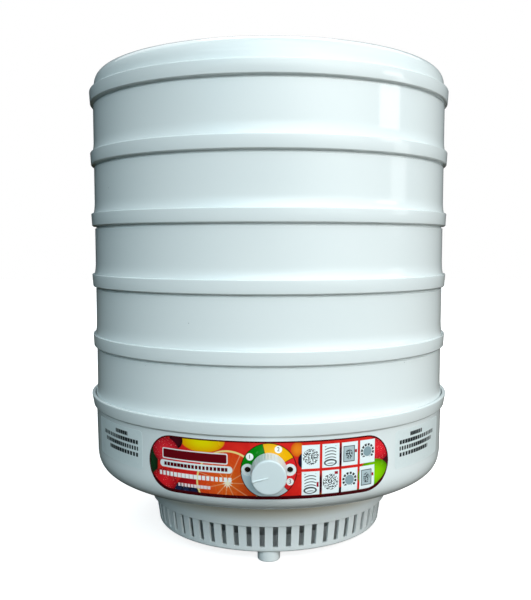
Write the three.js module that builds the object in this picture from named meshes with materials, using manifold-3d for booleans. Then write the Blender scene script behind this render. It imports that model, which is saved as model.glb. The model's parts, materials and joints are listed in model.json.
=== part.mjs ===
// A round food dehydrator with five stacked trays. Millimetres, +Z up, the control knob towards -Y.
// From the table upwards: four feet, a slotted air intake cover, the base housing with its motor, fan, heater
// and control, five trays with sieve floors, and a vented lid. Each tray's rim sits in the collar below it.
// The origin is the middle of the footprint on the table, so the tower's axis stands a little behind it.
import * as THREE from "three";
import { mergeVertices } from "three/addons/utils/BufferGeometryUtils.js";
import Module from "manifold-3d";

const wasm = await Module();
wasm.setup();

// ---- Driving dimensions ----

const gap = 0.3; // clearance between pieces that touch
const sides = 32; // facets in a full turn of the large mouldings
const smallSides = 6; // facets of screws and pins
const leadSides = 8;

const trayCount = 5;
const trayPitch = 62.5;
const trayWallR = 186;
const trayWall = 1.8;
const trayFloor = 2;
const rimR = 187.6; // lower rim of a tray or of the lid
const collar = { topR: 190, footR: 188.7, innerR: 188.2, height: 10.4, step: 2.6, depth: 9.5 };
const sieve = { rings: 3, sectors: 8, innerR: 26, outerR: 182, rib: 3.4 };

const baseLip = { z: 156, topR: 192.5, footR: 190.5, innerR: 188.6 };
const housing = { wall: 2.4, topR: 187.7, bottomR: 187, bottomZ: 102.2, cornerWidth: 57, cornerDrop: 34.2 };
const squareness = 0.6; // exponent of the superellipse corners: 1 is an ellipse, less is fuller
const neck = { topR: 130.6, bottomR: 129.3, bottomZ: 39.8, filletR: 7 };
const ledge = { innerR: 178, topZ: 135.4, depth: 2.4 };

const cover = { bottomZ: 11.5, floor: 2.4, wall: 2.2, footR: 121.5, topR: 125.5 };
const slot = { count: 60, width: 5.3, bottomZ: 16.8 };
const foot = { r: 11.2, boreR: 5.2, height: 11.2, ringR: 107 };
const well = { r: 7.5, boreR: 5.2, shelf: 2.4 };

const deck = { thickness: 2.2, holeR: 77, rim: 2.2, rimTop: 141.6 };
const grille = { skirtR: 81.8, wall: 2, topZ: 144.6 };
const grilleSieve = { rings: 3, sectors: 8, innerR: 12, outerR: 74, rib: 3 };
const shroud = { r: 80, wall: 2, bottomZ: 60, flangeR: 95, lowerFlangeR: 92, flange: 2.2, lugZ: 91.7 };

const heater = { bottomZ: 92, topZ: 114, plate: 1.2, notch: 8.2, coilR: 3.5 };
const coilRings = { inner: 40, outer: 58 };
const fan = { hubR: 13, tipR: 72, bottomZ: 64, topZ: 86, blades: 6, pitch: 28, blade: 1.6 };
const shaft = { r: 2, bottomZ: 27, topZ: 85 };
const motor = { bottomZ: 34, topZ: 52.7, boreR: 15.3, rotorR: 14.3, halfWidth: 24, frontX: -20, backX: 50 };
const strap = { bottomZ: 57.4, thickness: 2, width: 26, screwX: 86 };

const knobZ = 113.2;
const knob = { backY: -188.9, height: 22, backR: 16, frontR: 15.3, flutes: 24, flute: 0.6 };
const pointer = { angle: 195, halfWidth: 0.8, proud: 1 };
const regulatorScrewX = 18.8;
const label = { halfLength: 117, bottomZ: 86, topZ: 139, thickness: 0.3 };
const sticker = { halfWidthDeg: 13.5, centreDeg: 52.5, bottomZ: 101, topZ: 138 };
const gland = { z: 112, boreR: 3.4, bodyR: 5.8, flangeR: 8.5 };

const lid = { shoulderR: 185.3, shoulderZ: 469.6, shoulderWidth: 60.7, shoulderRise: 24.8, wall: 2 };
const vent = { slots: 18, innerR: 30, outerR: 68, width: 4.5 };

const frontReach = knob.height + pointer.proud - knob.backY;
const axisY = (frontReach - baseLip.topR) / 2; // the tower's axis: it centres the footprint on the origin

// ---- Materials ----

function paint(colour, roughness, metalness = 0) {
  return new THREE.MeshStandardMaterial({ color: colour, roughness, metalness });
}

const materials = {
  whitePlastic: paint(0xe3eced, 0.3),
  knobPlastic: paint(0xe0eaea, 0.35),
  labelPrint: paint(0xd8352a, 0.35),
  stickerPaper: paint(0xe9efef, 0.5),
  steel: paint(0xb7bbbd, 0.35, 1),
  lamination: paint(0x6d7072, 0.5, 1),
  copper: paint(0xb4683a, 0.35, 1),
  nichrome: paint(0x8f8a86, 0.45, 1),
  mica: paint(0xb8ad92, 0.6),
  darkPlastic: paint(0x2b2d2f, 0.5),
  leadSleeve: paint(0xd9d6cc, 0.5),
  fanPlastic: paint(0x3a3d40, 0.45),
};

// ---- Solids ----

// A closed three.js geometry as a manifold-3d solid, with its faces pointing out.
function solidOf(geometry) {
  const bare = geometry.index ? geometry.toNonIndexed() : geometry.clone();
  bare.deleteAttribute("normal");
  bare.deleteAttribute("uv");
  const merged = mergeVertices(bare, 1e-3);
  const kept = [];
  for (let i = 0; i < merged.index.count; i += 3) {
    const [a, b, c] = [0, 1, 2].map((k) => merged.index.array[i + k]);
    if (a !== b && b !== c && c !== a) kept.push(a, b, c);
  }
  const position = merged.attributes.position.array;
  let volume = 0;
  for (let i = 0; i < kept.length; i += 3) {
    const [p, q, r] = [0, 1, 2].map((k) => new THREE.Vector3().fromArray(position, 3 * kept[i + k]));
    volume += p.dot(q.cross(r));
  }
  if (volume < 0) kept.reverse();
  const triVerts = new Uint32Array(kept);
  return new wasm.Manifold(new wasm.Mesh({ numProp: 3, vertProperties: position, triVerts }));
}

function geometryOf(solid) {
  const mesh = solid.getMesh();
  const geometry = new THREE.BufferGeometry();
  geometry.setAttribute("position", new THREE.BufferAttribute(new Float32Array(mesh.vertProperties), 3));
  geometry.setIndex(new THREE.BufferAttribute(new Uint32Array(mesh.triVerts), 1));
  geometry.computeVertexNormals();
  return geometry;
}

function union(first, ...others) {
  return others.reduce((sum, other) => sum.add(other), first);
}

function cut(solid, ...tools) {
  return tools.reduce((rest, tool) => rest.subtract(tool), solid);
}

// A profile of [radius, z] points turned about the vertical axis. A ring's profile is closed on itself.
function revolve(profile, segments = sides, phase = 0) {
  const points = profile.map(([r, z]) => new THREE.Vector2(r, z));
  const onAxis = profile[0][0] === 0 && profile.at(-1)[0] === 0;
  if (!onAxis) points.push(points[0].clone());
  return solidOf(new THREE.LatheGeometry(points, segments, phase).rotateX(Math.PI / 2));
}

function tube(innerR, outerR, z0, z1, segments = sides) {
  return revolve([[innerR, z0], [outerR, z0], [outerR, z1], [innerR, z1]], segments);
}

function cylinder(r, z0, z1, x = 0, y = 0, segments = smallSides) {
  const geometry = new THREE.CylinderGeometry(r, r, z1 - z0, segments).rotateX(Math.PI / 2);
  return solidOf(geometry.translate(x, y, (z0 + z1) / 2));
}

// A cylinder along Y, from y0 to y1.
function barrel(r, y0, y1, x, z, segments = smallSides) {
  return solidOf(new THREE.CylinderGeometry(r, r, y1 - y0, segments).translate(x, (y0 + y1) / 2, z));
}

function box(x0, x1, y0, y1, z0, z1) {
  const geometry = new THREE.BoxGeometry(x1 - x0, y1 - y0, z1 - z0);
  return solidOf(geometry.translate((x0 + x1) / 2, (y0 + y1) / 2, (z0 + z1) / 2));
}

// A closed outline of [x, y] points, raised from z0 to z1.
function prism(outline, z0, z1) {
  const shape = new THREE.Shape(outline.map(([x, y]) => new THREE.Vector2(x, y)));
  const geometry = new THREE.ExtrudeGeometry(shape, { depth: z1 - z0, bevelEnabled: false });
  return solidOf(geometry.translate(0, 0, z0));
}

function polar(r, degrees) {
  const angle = THREE.MathUtils.degToRad(degrees);
  return [r * Math.cos(angle), r * Math.sin(angle)];
}

// A piece of a ring between two radii and two angles, for cutting openings.
function sector(innerR, outerR, fromDeg, toDeg, z0, z1) {
  const start = [polar(innerR, fromDeg), polar(outerR, fromDeg)];
  const end = [polar(outerR, toDeg), polar(innerR, toDeg)];
  return prism([...start, ...end], z0, z1);
}

// Rings of sector openings with ribs between them, as one cutting tool.
function sieveTool({ rings, sectors, innerR, outerR, rib }, z0, z1) {
  const tools = [];
  const ringWidth = (outerR - innerR) / rings;
  for (let ring = 0; ring < rings; ring++) {
    const r0 = innerR + ring * ringWidth + rib / 2;
    const r1 = innerR + (ring + 1) * ringWidth - rib / 2;
    const ribDeg = THREE.MathUtils.radToDeg(rib / ((r0 + r1) / 2));
    for (let k = 0; k < sectors; k++) {
      const from = (360 / sectors) * k;
      tools.push(sector(r0, r1, from + ribDeg / 2, from + 360 / sectors - ribDeg / 2, z0, z1));
    }
  }
  return wasm.Manifold.union(tools);
}

// A quarter superellipse from (centreR + width, centreZ) towards (centreR, centreZ + rise), as far as stopR.
// A negative rise bends it downwards.
function softCorner(centreR, centreZ, width, rise, stopR = centreR, steps = 4) {
  const stop = Math.acos(((stopR - centreR) / width) ** (1 / squareness));
  return Array.from({ length: steps + 1 }, (_, i) => {
    const t = stop * (i / steps) ** 1.4;
    return [centreR + width * Math.cos(t) ** squareness, centreZ + rise * Math.sin(t) ** squareness];
  });
}

// A screw standing on z with its shank upwards, or downwards where direction is -1.
function screw(x, y, z, headR, headHeight, shankR, shankLength, direction = 1) {
  const top = z - direction * headHeight;
  const end = z + direction * shankLength;
  const head = cylinder(headR, Math.min(z, top), Math.max(z, top), x, y);
  return union(head, cylinder(shankR, Math.min(z, end) - 0.01, Math.max(z, end) + 0.01, x, y));
}

// A round lead through the given points.
function lead(points, steps, r = 1.3) {
  const path = new THREE.CatmullRomCurve3(points.map((p) => new THREE.Vector3(...p)));
  const section = new THREE.Shape().setFromPoints(
    Array.from({ length: leadSides }, (_, i) => new THREE.Vector2(...polar(r, (360 / leadSides) * i))),
  );
  return solidOf(new THREE.ExtrudeGeometry(section, { extrudePath: path, steps, bevelEnabled: false }));
}

// ---- The scene graph ----

const tower = new THREE.Group();
tower.position.y = axisY;

function place(name, solid, material) {
  const mesh = new THREE.Mesh(geometryOf(solid), material);
  mesh.name = name;
  tower.add(mesh);
}

// ---- Base housing: collar, wall, rounded underside and neck ----

const shoulderZ = baseLip.z - collar.depth;
const cornerCentreR = housing.bottomR - housing.cornerWidth;
const undersideZ = housing.bottomZ - housing.cornerDrop;

const housingOuter = [
  [baseLip.topR, baseLip.z],
  [baseLip.footR, baseLip.z - 12],
  [housing.topR, baseLip.z - 14],
  ...softCorner(
    cornerCentreR,
    housing.bottomZ,
    housing.cornerWidth,
    -housing.cornerDrop,
    neck.topR + neck.filletR,
  ),
];

// Radius of the housing's outside at a height on its wall or lower corner.
function housingRadius(z) {
  const above = housingOuter.findIndex((point, i) => i > 0 && point[1] <= z);
  const [[r0, z0], [r1, z1]] = [housingOuter[above - 1], housingOuter[above]];
  return r0 + ((r1 - r0) * (z - z0)) / (z1 - z0);
}

function makeHousing() {
  const innerCorner = softCorner(
    cornerCentreR,
    housing.bottomZ,
    housing.cornerWidth - housing.wall,
    housing.wall - housing.cornerDrop,
    neck.topR + neck.filletR,
  ).reverse();
  const shell = revolve([
    ...housingOuter,
    [neck.topR, undersideZ - neck.filletR],
    [neck.bottomR, neck.bottomZ],
    [neck.bottomR - housing.wall, neck.bottomZ],
    [neck.topR - housing.wall, undersideZ - neck.filletR],
    ...innerCorner,
    [housing.bottomR - housing.wall, ledge.topZ - ledge.depth - 2],
    [ledge.innerR, ledge.topZ - ledge.depth],
    [ledge.innerR, ledge.topZ],
    [housing.bottomR - housing.wall, ledge.topZ],
    [housing.bottomR - housing.wall, shoulderZ],
    [baseLip.innerR, shoulderZ],
    [baseLip.innerR + 0.3, baseLip.z],
  ]);
  const posts = [0, 90, 180, 270].map((deg) => {
    const [x, y] = polar(foot.ringR, deg);
    const top = undersideZ - neck.filletR;
    const rib = box(foot.ringR + 4, neck.bottomR - 1, -2, 2, neck.bottomZ, top);
    const post = union(cylinder(well.r, neck.bottomZ, top, x, y, 12), rib.rotate([0, 0, deg]));
    return cut(post, cylinder(2.2, neck.bottomZ - 1, neck.bottomZ + 14, x, y));
  });
  const wallY = -housing.topR;
  const screwXs = [-regulatorScrewX, regulatorScrewX];
  const bosses = screwXs.map((x) => barrel(5.5, wallY + 3.2, wallY + 6.6, x, knobZ, 12));
  const counterbores = screwXs.map((x) => barrel(2.9, wallY - 4, wallY + 4.6, x, knobZ, 12));
  const screwHoles = screwXs.map((x) => barrel(1.7, wallY - 1, wallY + 9, x, knobZ));
  const spindleHole = barrel(4.5, wallY - 4, wallY + 8, 0, knobZ, 12);
  const glandHole = barrel(gland.bodyR + 0.4, housing.topR - 8, housing.topR + 4, 0, gland.z, 12);
  const deckHoles = deckScrewPlaces.map(([x, y]) => cylinder(1.8, ledge.topZ - 6, ledge.topZ + 1, x, y));
  const openings = [...counterbores, ...screwHoles, spindleHole, glandHole, ...deckHoles];
  return cut(union(shell, ...posts, ...bosses), ...openings);
}

// ---- Intake cover, feet and the screws up through them ----

const footPlaces = [
  ["front", ...polar(foot.ringR, -90)],
  ["right", ...polar(foot.ringR, 0)],
  ["rear", ...polar(foot.ringR, 90)],
  ["left", ...polar(foot.ringR, 180)],
];

function makeIntakeCover() {
  const top = neck.bottomZ - gap;
  const pan = revolve(
    [
      [0, cover.bottomZ],
      [cover.footR, cover.bottomZ],
      [cover.topR, top],
      [cover.topR - cover.wall, top],
      [cover.footR - cover.wall, cover.bottomZ + cover.floor],
      [0, cover.bottomZ + cover.floor],
    ],
    slot.count / 2,
  );
  const slots = Array.from({ length: slot.count }, (_, i) => {
    const tool = box(cover.footR - 8, cover.topR + 4, -slot.width / 2, slot.width / 2, slot.bottomZ, top + 1);
    return tool.rotate([0, 0, (360 / slot.count) * (i + 0.5)]);
  });
  const wells = footPlaces.map(([, x, y]) => cylinder(well.r, cover.bottomZ, top, x, y, 12));
  const bores = footPlaces.map(([, x, y]) =>
    union(
      cylinder(well.boreR, cover.bottomZ - 1, top - well.shelf, x, y, 12),
      cylinder(2.2, cover.bottomZ, top + 1, x, y),
    ),
  );
  return cut(union(cut(pan, wasm.Manifold.union(slots)), ...wells), ...bores);
}

function makeFoot(x, y) {
  const body = revolve(
    [
      [foot.boreR, 0],
      [foot.r - 1.2, 0],
      [foot.r, 1.2],
      [foot.r, foot.height],
      [foot.boreR, foot.height],
    ],
    16,
  );
  return body.translate([x, y, 0]);
}

// ---- Deck over the base, hot-air grille and their screws ----

const deckBottom = ledge.topZ + gap;
const deckTop = deckBottom + deck.thickness;
const deckScrewPlaces = [45, 135, 225, 315].map((deg) => polar(181.3, deg));
const shroudScrewPlaces = [90, 210, 330].map((deg) => polar(88.5, deg));

function makeDeck() {
  const plate = revolve([
    [deck.holeR, deckBottom],
    [housing.bottomR - housing.wall - gap, deckBottom],
    [housing.bottomR - housing.wall - gap, deckTop],
    [deck.holeR + deck.rim, deckTop],
    [deck.holeR + deck.rim, deck.rimTop],
    [deck.holeR, deck.rimTop],
  ]);
  const holes = [...deckScrewPlaces, ...shroudScrewPlaces];
  return cut(plate, ...holes.map(([x, y]) => cylinder(1.8, deckBottom - 1, deckTop + 1, x, y)));
}

function makeOutletGrille() {
  const cap = revolve([
    [0, deck.rimTop + gap],
    [grille.skirtR - grille.wall, deck.rimTop + gap],
    [grille.skirtR - grille.wall, deckTop + gap],
    [grille.skirtR, deckTop + gap],
    [grille.skirtR, grille.topZ - 1.2],
    [grille.skirtR - 1.4, grille.topZ],
    [0, grille.topZ],
  ]);
  return cut(cap, sieveTool(grilleSieve, deck.rimTop - 1, grille.topZ + 1));
}

// ---- Fan shroud, heater ----

function makeShroud() {
  const innerR = shroud.r - shroud.wall;
  const top = ledge.topZ;
  const body = revolve([
    [innerR, shroud.bottomZ],
    [shroud.lowerFlangeR, shroud.bottomZ],
    [shroud.lowerFlangeR, shroud.bottomZ + shroud.flange],
    [shroud.r, shroud.bottomZ + shroud.flange],
    [shroud.r, top - shroud.flange],
    [shroud.flangeR, top - shroud.flange],
    [shroud.flangeR, top],
    [innerR, top],
  ]);
  const lugs = [0, 90, 180, 270].map((deg) =>
    box(innerR - 6, innerR + 1, -4, 4, shroud.lugZ - 2.2, shroud.lugZ).rotate([0, 0, deg]),
  );
  const upperHoles = shroudScrewPlaces.map(([x, y]) => cylinder(1.8, top - 4, top + 1, x, y));
  const lowerHoles = [-strap.screwX, strap.screwX].map((x) =>
    cylinder(1.8, shroud.bottomZ - 1, shroud.bottomZ + 4, x, 0),
  );
  const leadHole = barrel(3, 60, 100, 0, 105).rotate([0, 0, -135]);
  return cut(union(body, ...lugs), ...upperHoles, ...lowerHoles, leadHole);
}

// One of two upright mica plates that cross on the axis, half-lapped, with notches for the coils.
function makeHeaterPlate(lapFromTop) {
  const half = shroud.r - shroud.wall - 0.5;
  const middle = (heater.bottomZ + heater.topZ) / 2;
  const plate = box(-half, half, -heater.plate / 2, heater.plate / 2, heater.bottomZ, heater.topZ);
  const lapZ = lapFromTop ? [middle - gap, heater.topZ + 1] : [heater.bottomZ - 1, middle + gap];
  const lap = box(-heater.plate / 2 - gap, heater.plate / 2 + gap, -5, 5, ...lapZ);
  const notches = Object.values(coilRings)
    .flatMap((r) => [-r, r])
    .map((x) => box(x - heater.notch / 2, x + heater.notch / 2, -5, 5, heater.topZ - 8, heater.topZ + 1));
  return cut(plate, lap, ...notches);
}

function makeCoil(ringR) {
  const torus = new THREE.TorusGeometry(ringR, heater.coilR, 6, 24);
  return solidOf(torus.translate(0, 0, heater.topZ - 4));
}

// ---- Motor, its strap, and the fan ----

const boltPlaces = [[-16, 19], [16, -19]];

function makeLaminations() {
  const stack = box(motor.frontX, motor.backX, -motor.halfWidth, motor.halfWidth, motor.bottomZ, motor.topZ);
  const bore = cylinder(motor.boreR, motor.bottomZ - 1, motor.topZ + 1, 0, 0, 20);
  const window = box(19, 38, -15, 15, motor.bottomZ - 1, motor.topZ + 1);
  const holes = boltPlaces.map(([x, y]) => cylinder(1.9, motor.bottomZ - 1, motor.topZ + 1, x, y));
  return cut(stack, bore, window, ...holes);
}

function makeWinding() {
  const limb = box(37.6, motor.backX + 0.4, -20, 20, motor.bottomZ - 0.4, motor.topZ + 0.4);
  return cut(box(30, 58, -14.6, 14.6, 28.5, 56.5), limb);
}

function makeBearingBracket(z0, z1, bossZ0, bossZ1) {
  const plate = box(motor.frontX, 20, -motor.halfWidth, motor.halfWidth, z0, z1);
  const boss = cylinder(7, bossZ0, bossZ1, 0, 0, 16);
  const holes = boltPlaces.map(([x, y]) => cylinder(1.9, z0 - 1, z1 + 1, x, y));
  return cut(union(plate, boss), cylinder(shaft.r + 0.4, bossZ0 - 1, bossZ1 + 1, 0, 0, 12), ...holes);
}

function makeStrap() {
  const top = strap.bottomZ + strap.thickness;
  const bar = box(-strap.screwX - 6, strap.screwX + 6, -strap.width / 2, strap.width / 2, strap.bottomZ, top);
  const saddle = box(-24, 24, -motor.halfWidth, motor.halfWidth, strap.bottomZ, top);
  const bearing = cylinder(9, strap.bottomZ - 1, top + 1, 0, 0, 16);
  const places = [...boltPlaces, [-strap.screwX, 0], [strap.screwX, 0]];
  const holes = places.map(([x, y]) => cylinder(1.9, strap.bottomZ - 1, top + 1, x, y));
  return cut(union(bar, saddle), bearing, ...holes);
}

function makeRotor() {
  return tube(shaft.r + 0.4, motor.rotorR, motor.bottomZ + 0.5, motor.topZ - 0.5, 20);
}

function makeImpeller() {
  const hub = cylinder(fan.hubR, fan.bottomZ, fan.topZ - 4, 0, 0, 20);
  const middle = (fan.bottomZ + fan.topZ) / 2 - 1;
  const sweep = cylinder(fan.tipR, fan.bottomZ, fan.topZ, 0, 0, 36);
  const blades = Array.from({ length: fan.blades }, (_, i) => {
    const blade = box(fan.hubR - 4, fan.tipR + 4, -22, 22, -fan.blade / 2, fan.blade / 2);
    return blade.rotate([fan.pitch, 0, 0]).translate([0, 0, middle]).rotate([0, 0, (360 / fan.blades) * i]);
  });
  const wheel = union(hub, wasm.Manifold.union(blades).intersect(sweep));
  return cut(wheel, cylinder(shaft.r + 0.4, fan.bottomZ - 1, fan.topZ + 1, 0, 0, 12));
}

// ---- Control: regulator, knob and the printed film round them ----

function makeRegulator() {
  const plateY = -housing.topR + 7.2;
  const plate = box(-25, 25, plateY, plateY + 1.6, knobZ - 11, knobZ + 11);
  const can = barrel(16, plateY + 1.2, plateY + 14, 0, knobZ, 16);
  const screwHoles = [-regulatorScrewX, regulatorScrewX].map((x) =>
    barrel(1.9, plateY - 1, plateY + 4, x, knobZ),
  );
  return cut(union(plate, can), barrel(3.4, plateY - 1, plateY + 11, 0, knobZ, 12), ...screwHoles);
}

function makeRegulatorScrew(side) {
  const headY = -housing.topR + 2.6;
  const head = barrel(2.5, headY, headY + 1.7, side * regulatorScrewX, knobZ, 12);
  return union(head, barrel(1.4, headY + 1.5, headY + 9, side * regulatorScrewX, knobZ));
}

function makeKnob() {
  const outline = Array.from({ length: 2 * knob.flutes }, (_, i) =>
    polar(knob.backR - (i % 2 ? knob.flute : 0), (180 / knob.flutes) * i),
  );
  const skirt = prism(outline, 0, knob.height - 4);
  const cap = revolve(
    [
      [0, knob.height - 4.2],
      [knob.frontR, knob.height - 4.2],
      [knob.frontR, knob.height - 1.6],
      [knob.frontR - 1.6, knob.height],
      [0, knob.height],
    ],
    24,
  );
  const { halfWidth, proud } = pointer;
  const ridge = box(0, knob.frontR - 0.6, -halfWidth, halfWidth, knob.height - 1, knob.height + proud);
  const bore = cylinder(3.35, -1, 15.5, 0, 0, 12);
  const body = cut(union(skirt, cap, ridge.rotate([0, 0, pointer.angle])), bore);
  return body.rotate([90, 0, 0]).translate([0, knob.backY, knobZ]);
}

// A thin film on the wall, cut to an outline of [x, z] points seen from the front, turned to an azimuth.
function makeFilm(outline, bottomZ, topZ, holes = [], azimuth = 0) {
  const bends = housingOuter.map(([, z]) => z).filter((z) => z < topZ && z > bottomZ);
  const heights = [topZ, ...bends, bottomZ];
  const outside = heights.map((z) => [housingRadius(z) + gap + label.thickness, z]);
  const inside = heights.map((z) => [housingRadius(z) + gap, z]).reverse();
  const stamp = prism(outline.map(([x, z]) => [x, -z]), 0, 2 * housing.topR).rotate([-90, 0, 0]);
  const facing = stamp.translate([0, -2 * housing.topR, 0]).rotate([0, 0, azimuth]);
  return cut(revolve([...outside, ...inside]).intersect(facing), ...holes);
}

// The film's rounded-end outline, its length measured round the wall.
function labelOutline() {
  const half = (label.topZ - label.bottomZ) / 2;
  const middle = (label.topZ + label.bottomZ) / 2;
  const wrap = (s) => housing.bottomR * Math.sin(s / housing.bottomR);
  const end = (from, centre) =>
    Array.from({ length: 9 }, (_, i) => {
      const [x, z] = polar(half, from + (180 / 8) * i);
      return [wrap(centre + x), middle + z * 0.999];
    });
  return [...end(-90, label.halfLength - half), ...end(90, half - label.halfLength)];
}

function stickerOutline() {
  const halfWidth = housing.bottomR * Math.sin(THREE.MathUtils.degToRad(sticker.halfWidthDeg));
  const [z0, z1] = [sticker.bottomZ + 0.1, sticker.topZ - 0.1];
  return [[-halfWidth, z0], [halfWidth, z0], [halfWidth, z1], [-halfWidth, z1]];
}

function makeGland() {
  const wallY = housing.topR;
  const body = barrel(gland.bodyR, wallY - 8, wallY + 1, 0, gland.z, 12);
  const flange = barrel(gland.flangeR, wallY + 0.4, wallY + 3, 0, gland.z, 16);
  return cut(union(body, flange), barrel(gland.boreR, wallY - 10, wallY + 5, 0, gland.z, 12));
}

// ---- Trays and lid ----

// One tray on a collar whose top is at lipZ: a flared rim, a wall, a collar of its own and a sieve floor.
function makeTray(lipZ) {
  const z = lipZ - collar.depth + gap;
  const top = lipZ + trayPitch;
  const body = revolve([
    [0, z],
    [rimR, z],
    [rimR, lipZ],
    [trayWallR - 0.2, top - collar.height - collar.step],
    [collar.footR, top - collar.height],
    [collar.topR, top],
    [collar.innerR + 0.1, top],
    [collar.innerR, top - collar.depth],
    [trayWallR - trayWall, top - collar.depth],
    [trayWallR - trayWall, z + trayFloor],
    [0, z + trayFloor],
  ]);
  return cut(body, sieveTool(sieve, z - 1, z + trayFloor + 1));
}

function makeLid(lipZ) {
  const z = lipZ - collar.depth + gap;
  const centreR = lid.shoulderR - lid.shoulderWidth;
  const outer = softCorner(centreR, lid.shoulderZ, lid.shoulderWidth, lid.shoulderRise);
  const innerWidth = lid.shoulderWidth - lid.wall;
  const inner = softCorner(centreR, lid.shoulderZ, innerWidth, lid.shoulderRise - lid.wall).reverse();
  const crown = outer.at(-1)[1] + 2.6;
  const dish = crown - 5;
  const shell = revolve([
    [rimR - lid.wall, z],
    [rimR, z],
    [rimR, lipZ],
    ...outer,
    [92, crown],
    [80, crown - 0.4],
    [74, dish],
    [24, dish],
    [19, crown - 0.6],
    [0, crown],
    [0, crown - lid.wall],
    [18, crown - lid.wall - 0.6],
    [23, dish - lid.wall],
    [75, dish - lid.wall],
    [81, crown - lid.wall - 0.4],
    [92, crown - lid.wall],
    ...inner,
    [rimR - lid.wall, lipZ],
  ]);
  const slots = Array.from({ length: vent.slots }, (_, i) => {
    const tool = box(vent.innerR, vent.outerR, -vent.width / 2, vent.width / 2, dish - 6, dish + 3);
    return tool.rotate([0, 0, (360 / vent.slots) * (i + 0.5)]);
  });
  return cut(shell, wasm.Manifold.union(slots));
}

// ---- Assembly ----

place("base_housing", makeHousing(), materials.whitePlastic);
place("intake_cover", makeIntakeCover(), materials.whitePlastic);
footPlaces.forEach(([side, x, y]) => {
  place("foot_" + side, makeFoot(x, y), materials.whitePlastic);
  const shelf = neck.bottomZ - gap - well.shelf - gap;
  place("cover_screw_" + side, screw(x, y, shelf, 4, 2.6, 1.9, 15), materials.steel);
});

place("deck_plate", makeDeck(), materials.whitePlastic);
place("outlet_grille", makeOutletGrille(), materials.whitePlastic);
deckScrewPlaces.forEach(([x, y], i) => {
  place("deck_screw_" + (i + 1), screw(x, y, deckTop + gap, 3, 2, 1.5, 7, -1), materials.steel);
});
shroudScrewPlaces.forEach(([x, y], i) => {
  place("shroud_screw_" + (i + 1), screw(x, y, deckTop + gap, 3, 2, 1.5, 5.5, -1), materials.steel);
});

place("fan_shroud", makeShroud(), materials.whitePlastic);
place("heater_plate_wide", makeHeaterPlate(true), materials.mica);
place("heater_plate_deep", makeHeaterPlate(false).rotate([0, 0, 90]), materials.mica);
place("heating_coil_outer", makeCoil(coilRings.outer), materials.nichrome);
place("heating_coil_inner", makeCoil(coilRings.inner), materials.nichrome);
place("thermal_cutout", box(18, 32, 1.2, 6.2, 95, 103), materials.darkPlastic);

place("motor_strap", makeStrap(), materials.steel);
[-1, 1].forEach((side, i) => {
  const name = "strap_screw_" + ["left", "right"][i];
  place(name, screw(side * strap.screwX, 0, strap.bottomZ - gap, 3.4, 2.2, 1.5, 6), materials.steel);
});
place("motor_laminations", makeLaminations(), materials.lamination);
place("motor_winding", makeWinding(), materials.copper);
place("motor_bracket_upper", makeBearingBracket(53.1, 54.7, 53.1, 57.1), materials.steel);
place("motor_bracket_lower", makeBearingBracket(32, 33.6, 29.4, 33.6), materials.steel);
boltPlaces.forEach(([x, y], i) => {
  place("motor_bolt_" + (i + 1), screw(x, y, 31.7, 3, 2.2, 1.5, 27.5), materials.steel);
});
place("motor_rotor", makeRotor(), materials.lamination);
place("motor_shaft", cylinder(shaft.r, shaft.bottomZ, shaft.topZ, 0, 0, 12), materials.steel);
place("fan_impeller", makeImpeller(), materials.fanPlastic);

place("regulator_body", makeRegulator(), materials.darkPlastic);
place("regulator_screw_left", makeRegulatorScrew(-1), materials.steel);
place("regulator_screw_right", makeRegulatorScrew(1), materials.steel);
const spindle = barrel(3, knob.backY - 15, -housing.topR + 16, 0, knobZ, 12);
place("regulator_spindle", spindle, materials.darkPlastic);
place("knob", makeKnob(), materials.knobPlastic);

const filmHoles = [
  barrel(5.5, -200, -170, 0, knobZ, 16),
  barrel(5.4, -200, -170, -regulatorScrewX, knobZ, 16),
  barrel(5.4, -200, -170, regulatorScrewX, knobZ, 16),
];
place("front_label", makeFilm(labelOutline(), label.bottomZ, label.topZ, filmHoles), materials.labelPrint);
[["info_sticker_left", -1], ["info_sticker_right", 1]].forEach(([name, side]) => {
  const film = makeFilm(stickerOutline(), sticker.bottomZ, sticker.topZ, [], side * sticker.centreDeg);
  place(name, film, materials.stickerPaper);
});

place("cord_gland", makeGland(), materials.darkPlastic);
place("terminal_block", box(-54, -26, 62, 78, cover.bottomZ + cover.floor + gap, 26), materials.darkPlastic);
place(
  "lead_regulator",
  lead([
    [-40, 79.6, 22],
    [-60, 92, 45],
    [-85, 75, 74],
    [-120, 50, 92],
    [-145, -20, 102],
    [-120, -95, 108],
    [-60, -145, 112],
    [-12, -165.4, knobZ],
  ], 26),
  materials.leadSleeve,
);
place(
  "lead_heater",
  lead([
    [12, -165.4, knobZ],
    [70, -125, 110],
    [75, -78, 106],
    [56.6, -56.6, 105],
    [44, -44, 102.5],
    [38, -38, 103],
    [34.2, -34.2, 110],
  ], 16),
  materials.leadSleeve,
);
place(
  "lead_motor",
  lead([
    [-32, 60.4, 20],
    [-5, 48, 20],
    [28, 30, 21],
    [44, 6, 24],
    [46, 0, 26.6],
  ], 12),
  materials.leadSleeve,
);

const lipZ = (level) => baseLip.z + trayPitch * level;
for (let level = 0; level < trayCount; level++) {
  place("tray_" + (level + 1), makeTray(lipZ(level)), materials.whitePlastic);
}
place("lid", makeLid(lipZ(trayCount)), materials.whitePlastic);

const dehydrator = new THREE.Group();
dehydrator.add(tower);

export default dehydrator;
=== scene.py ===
import json
from math import cos, pi, radians, sin

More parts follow.
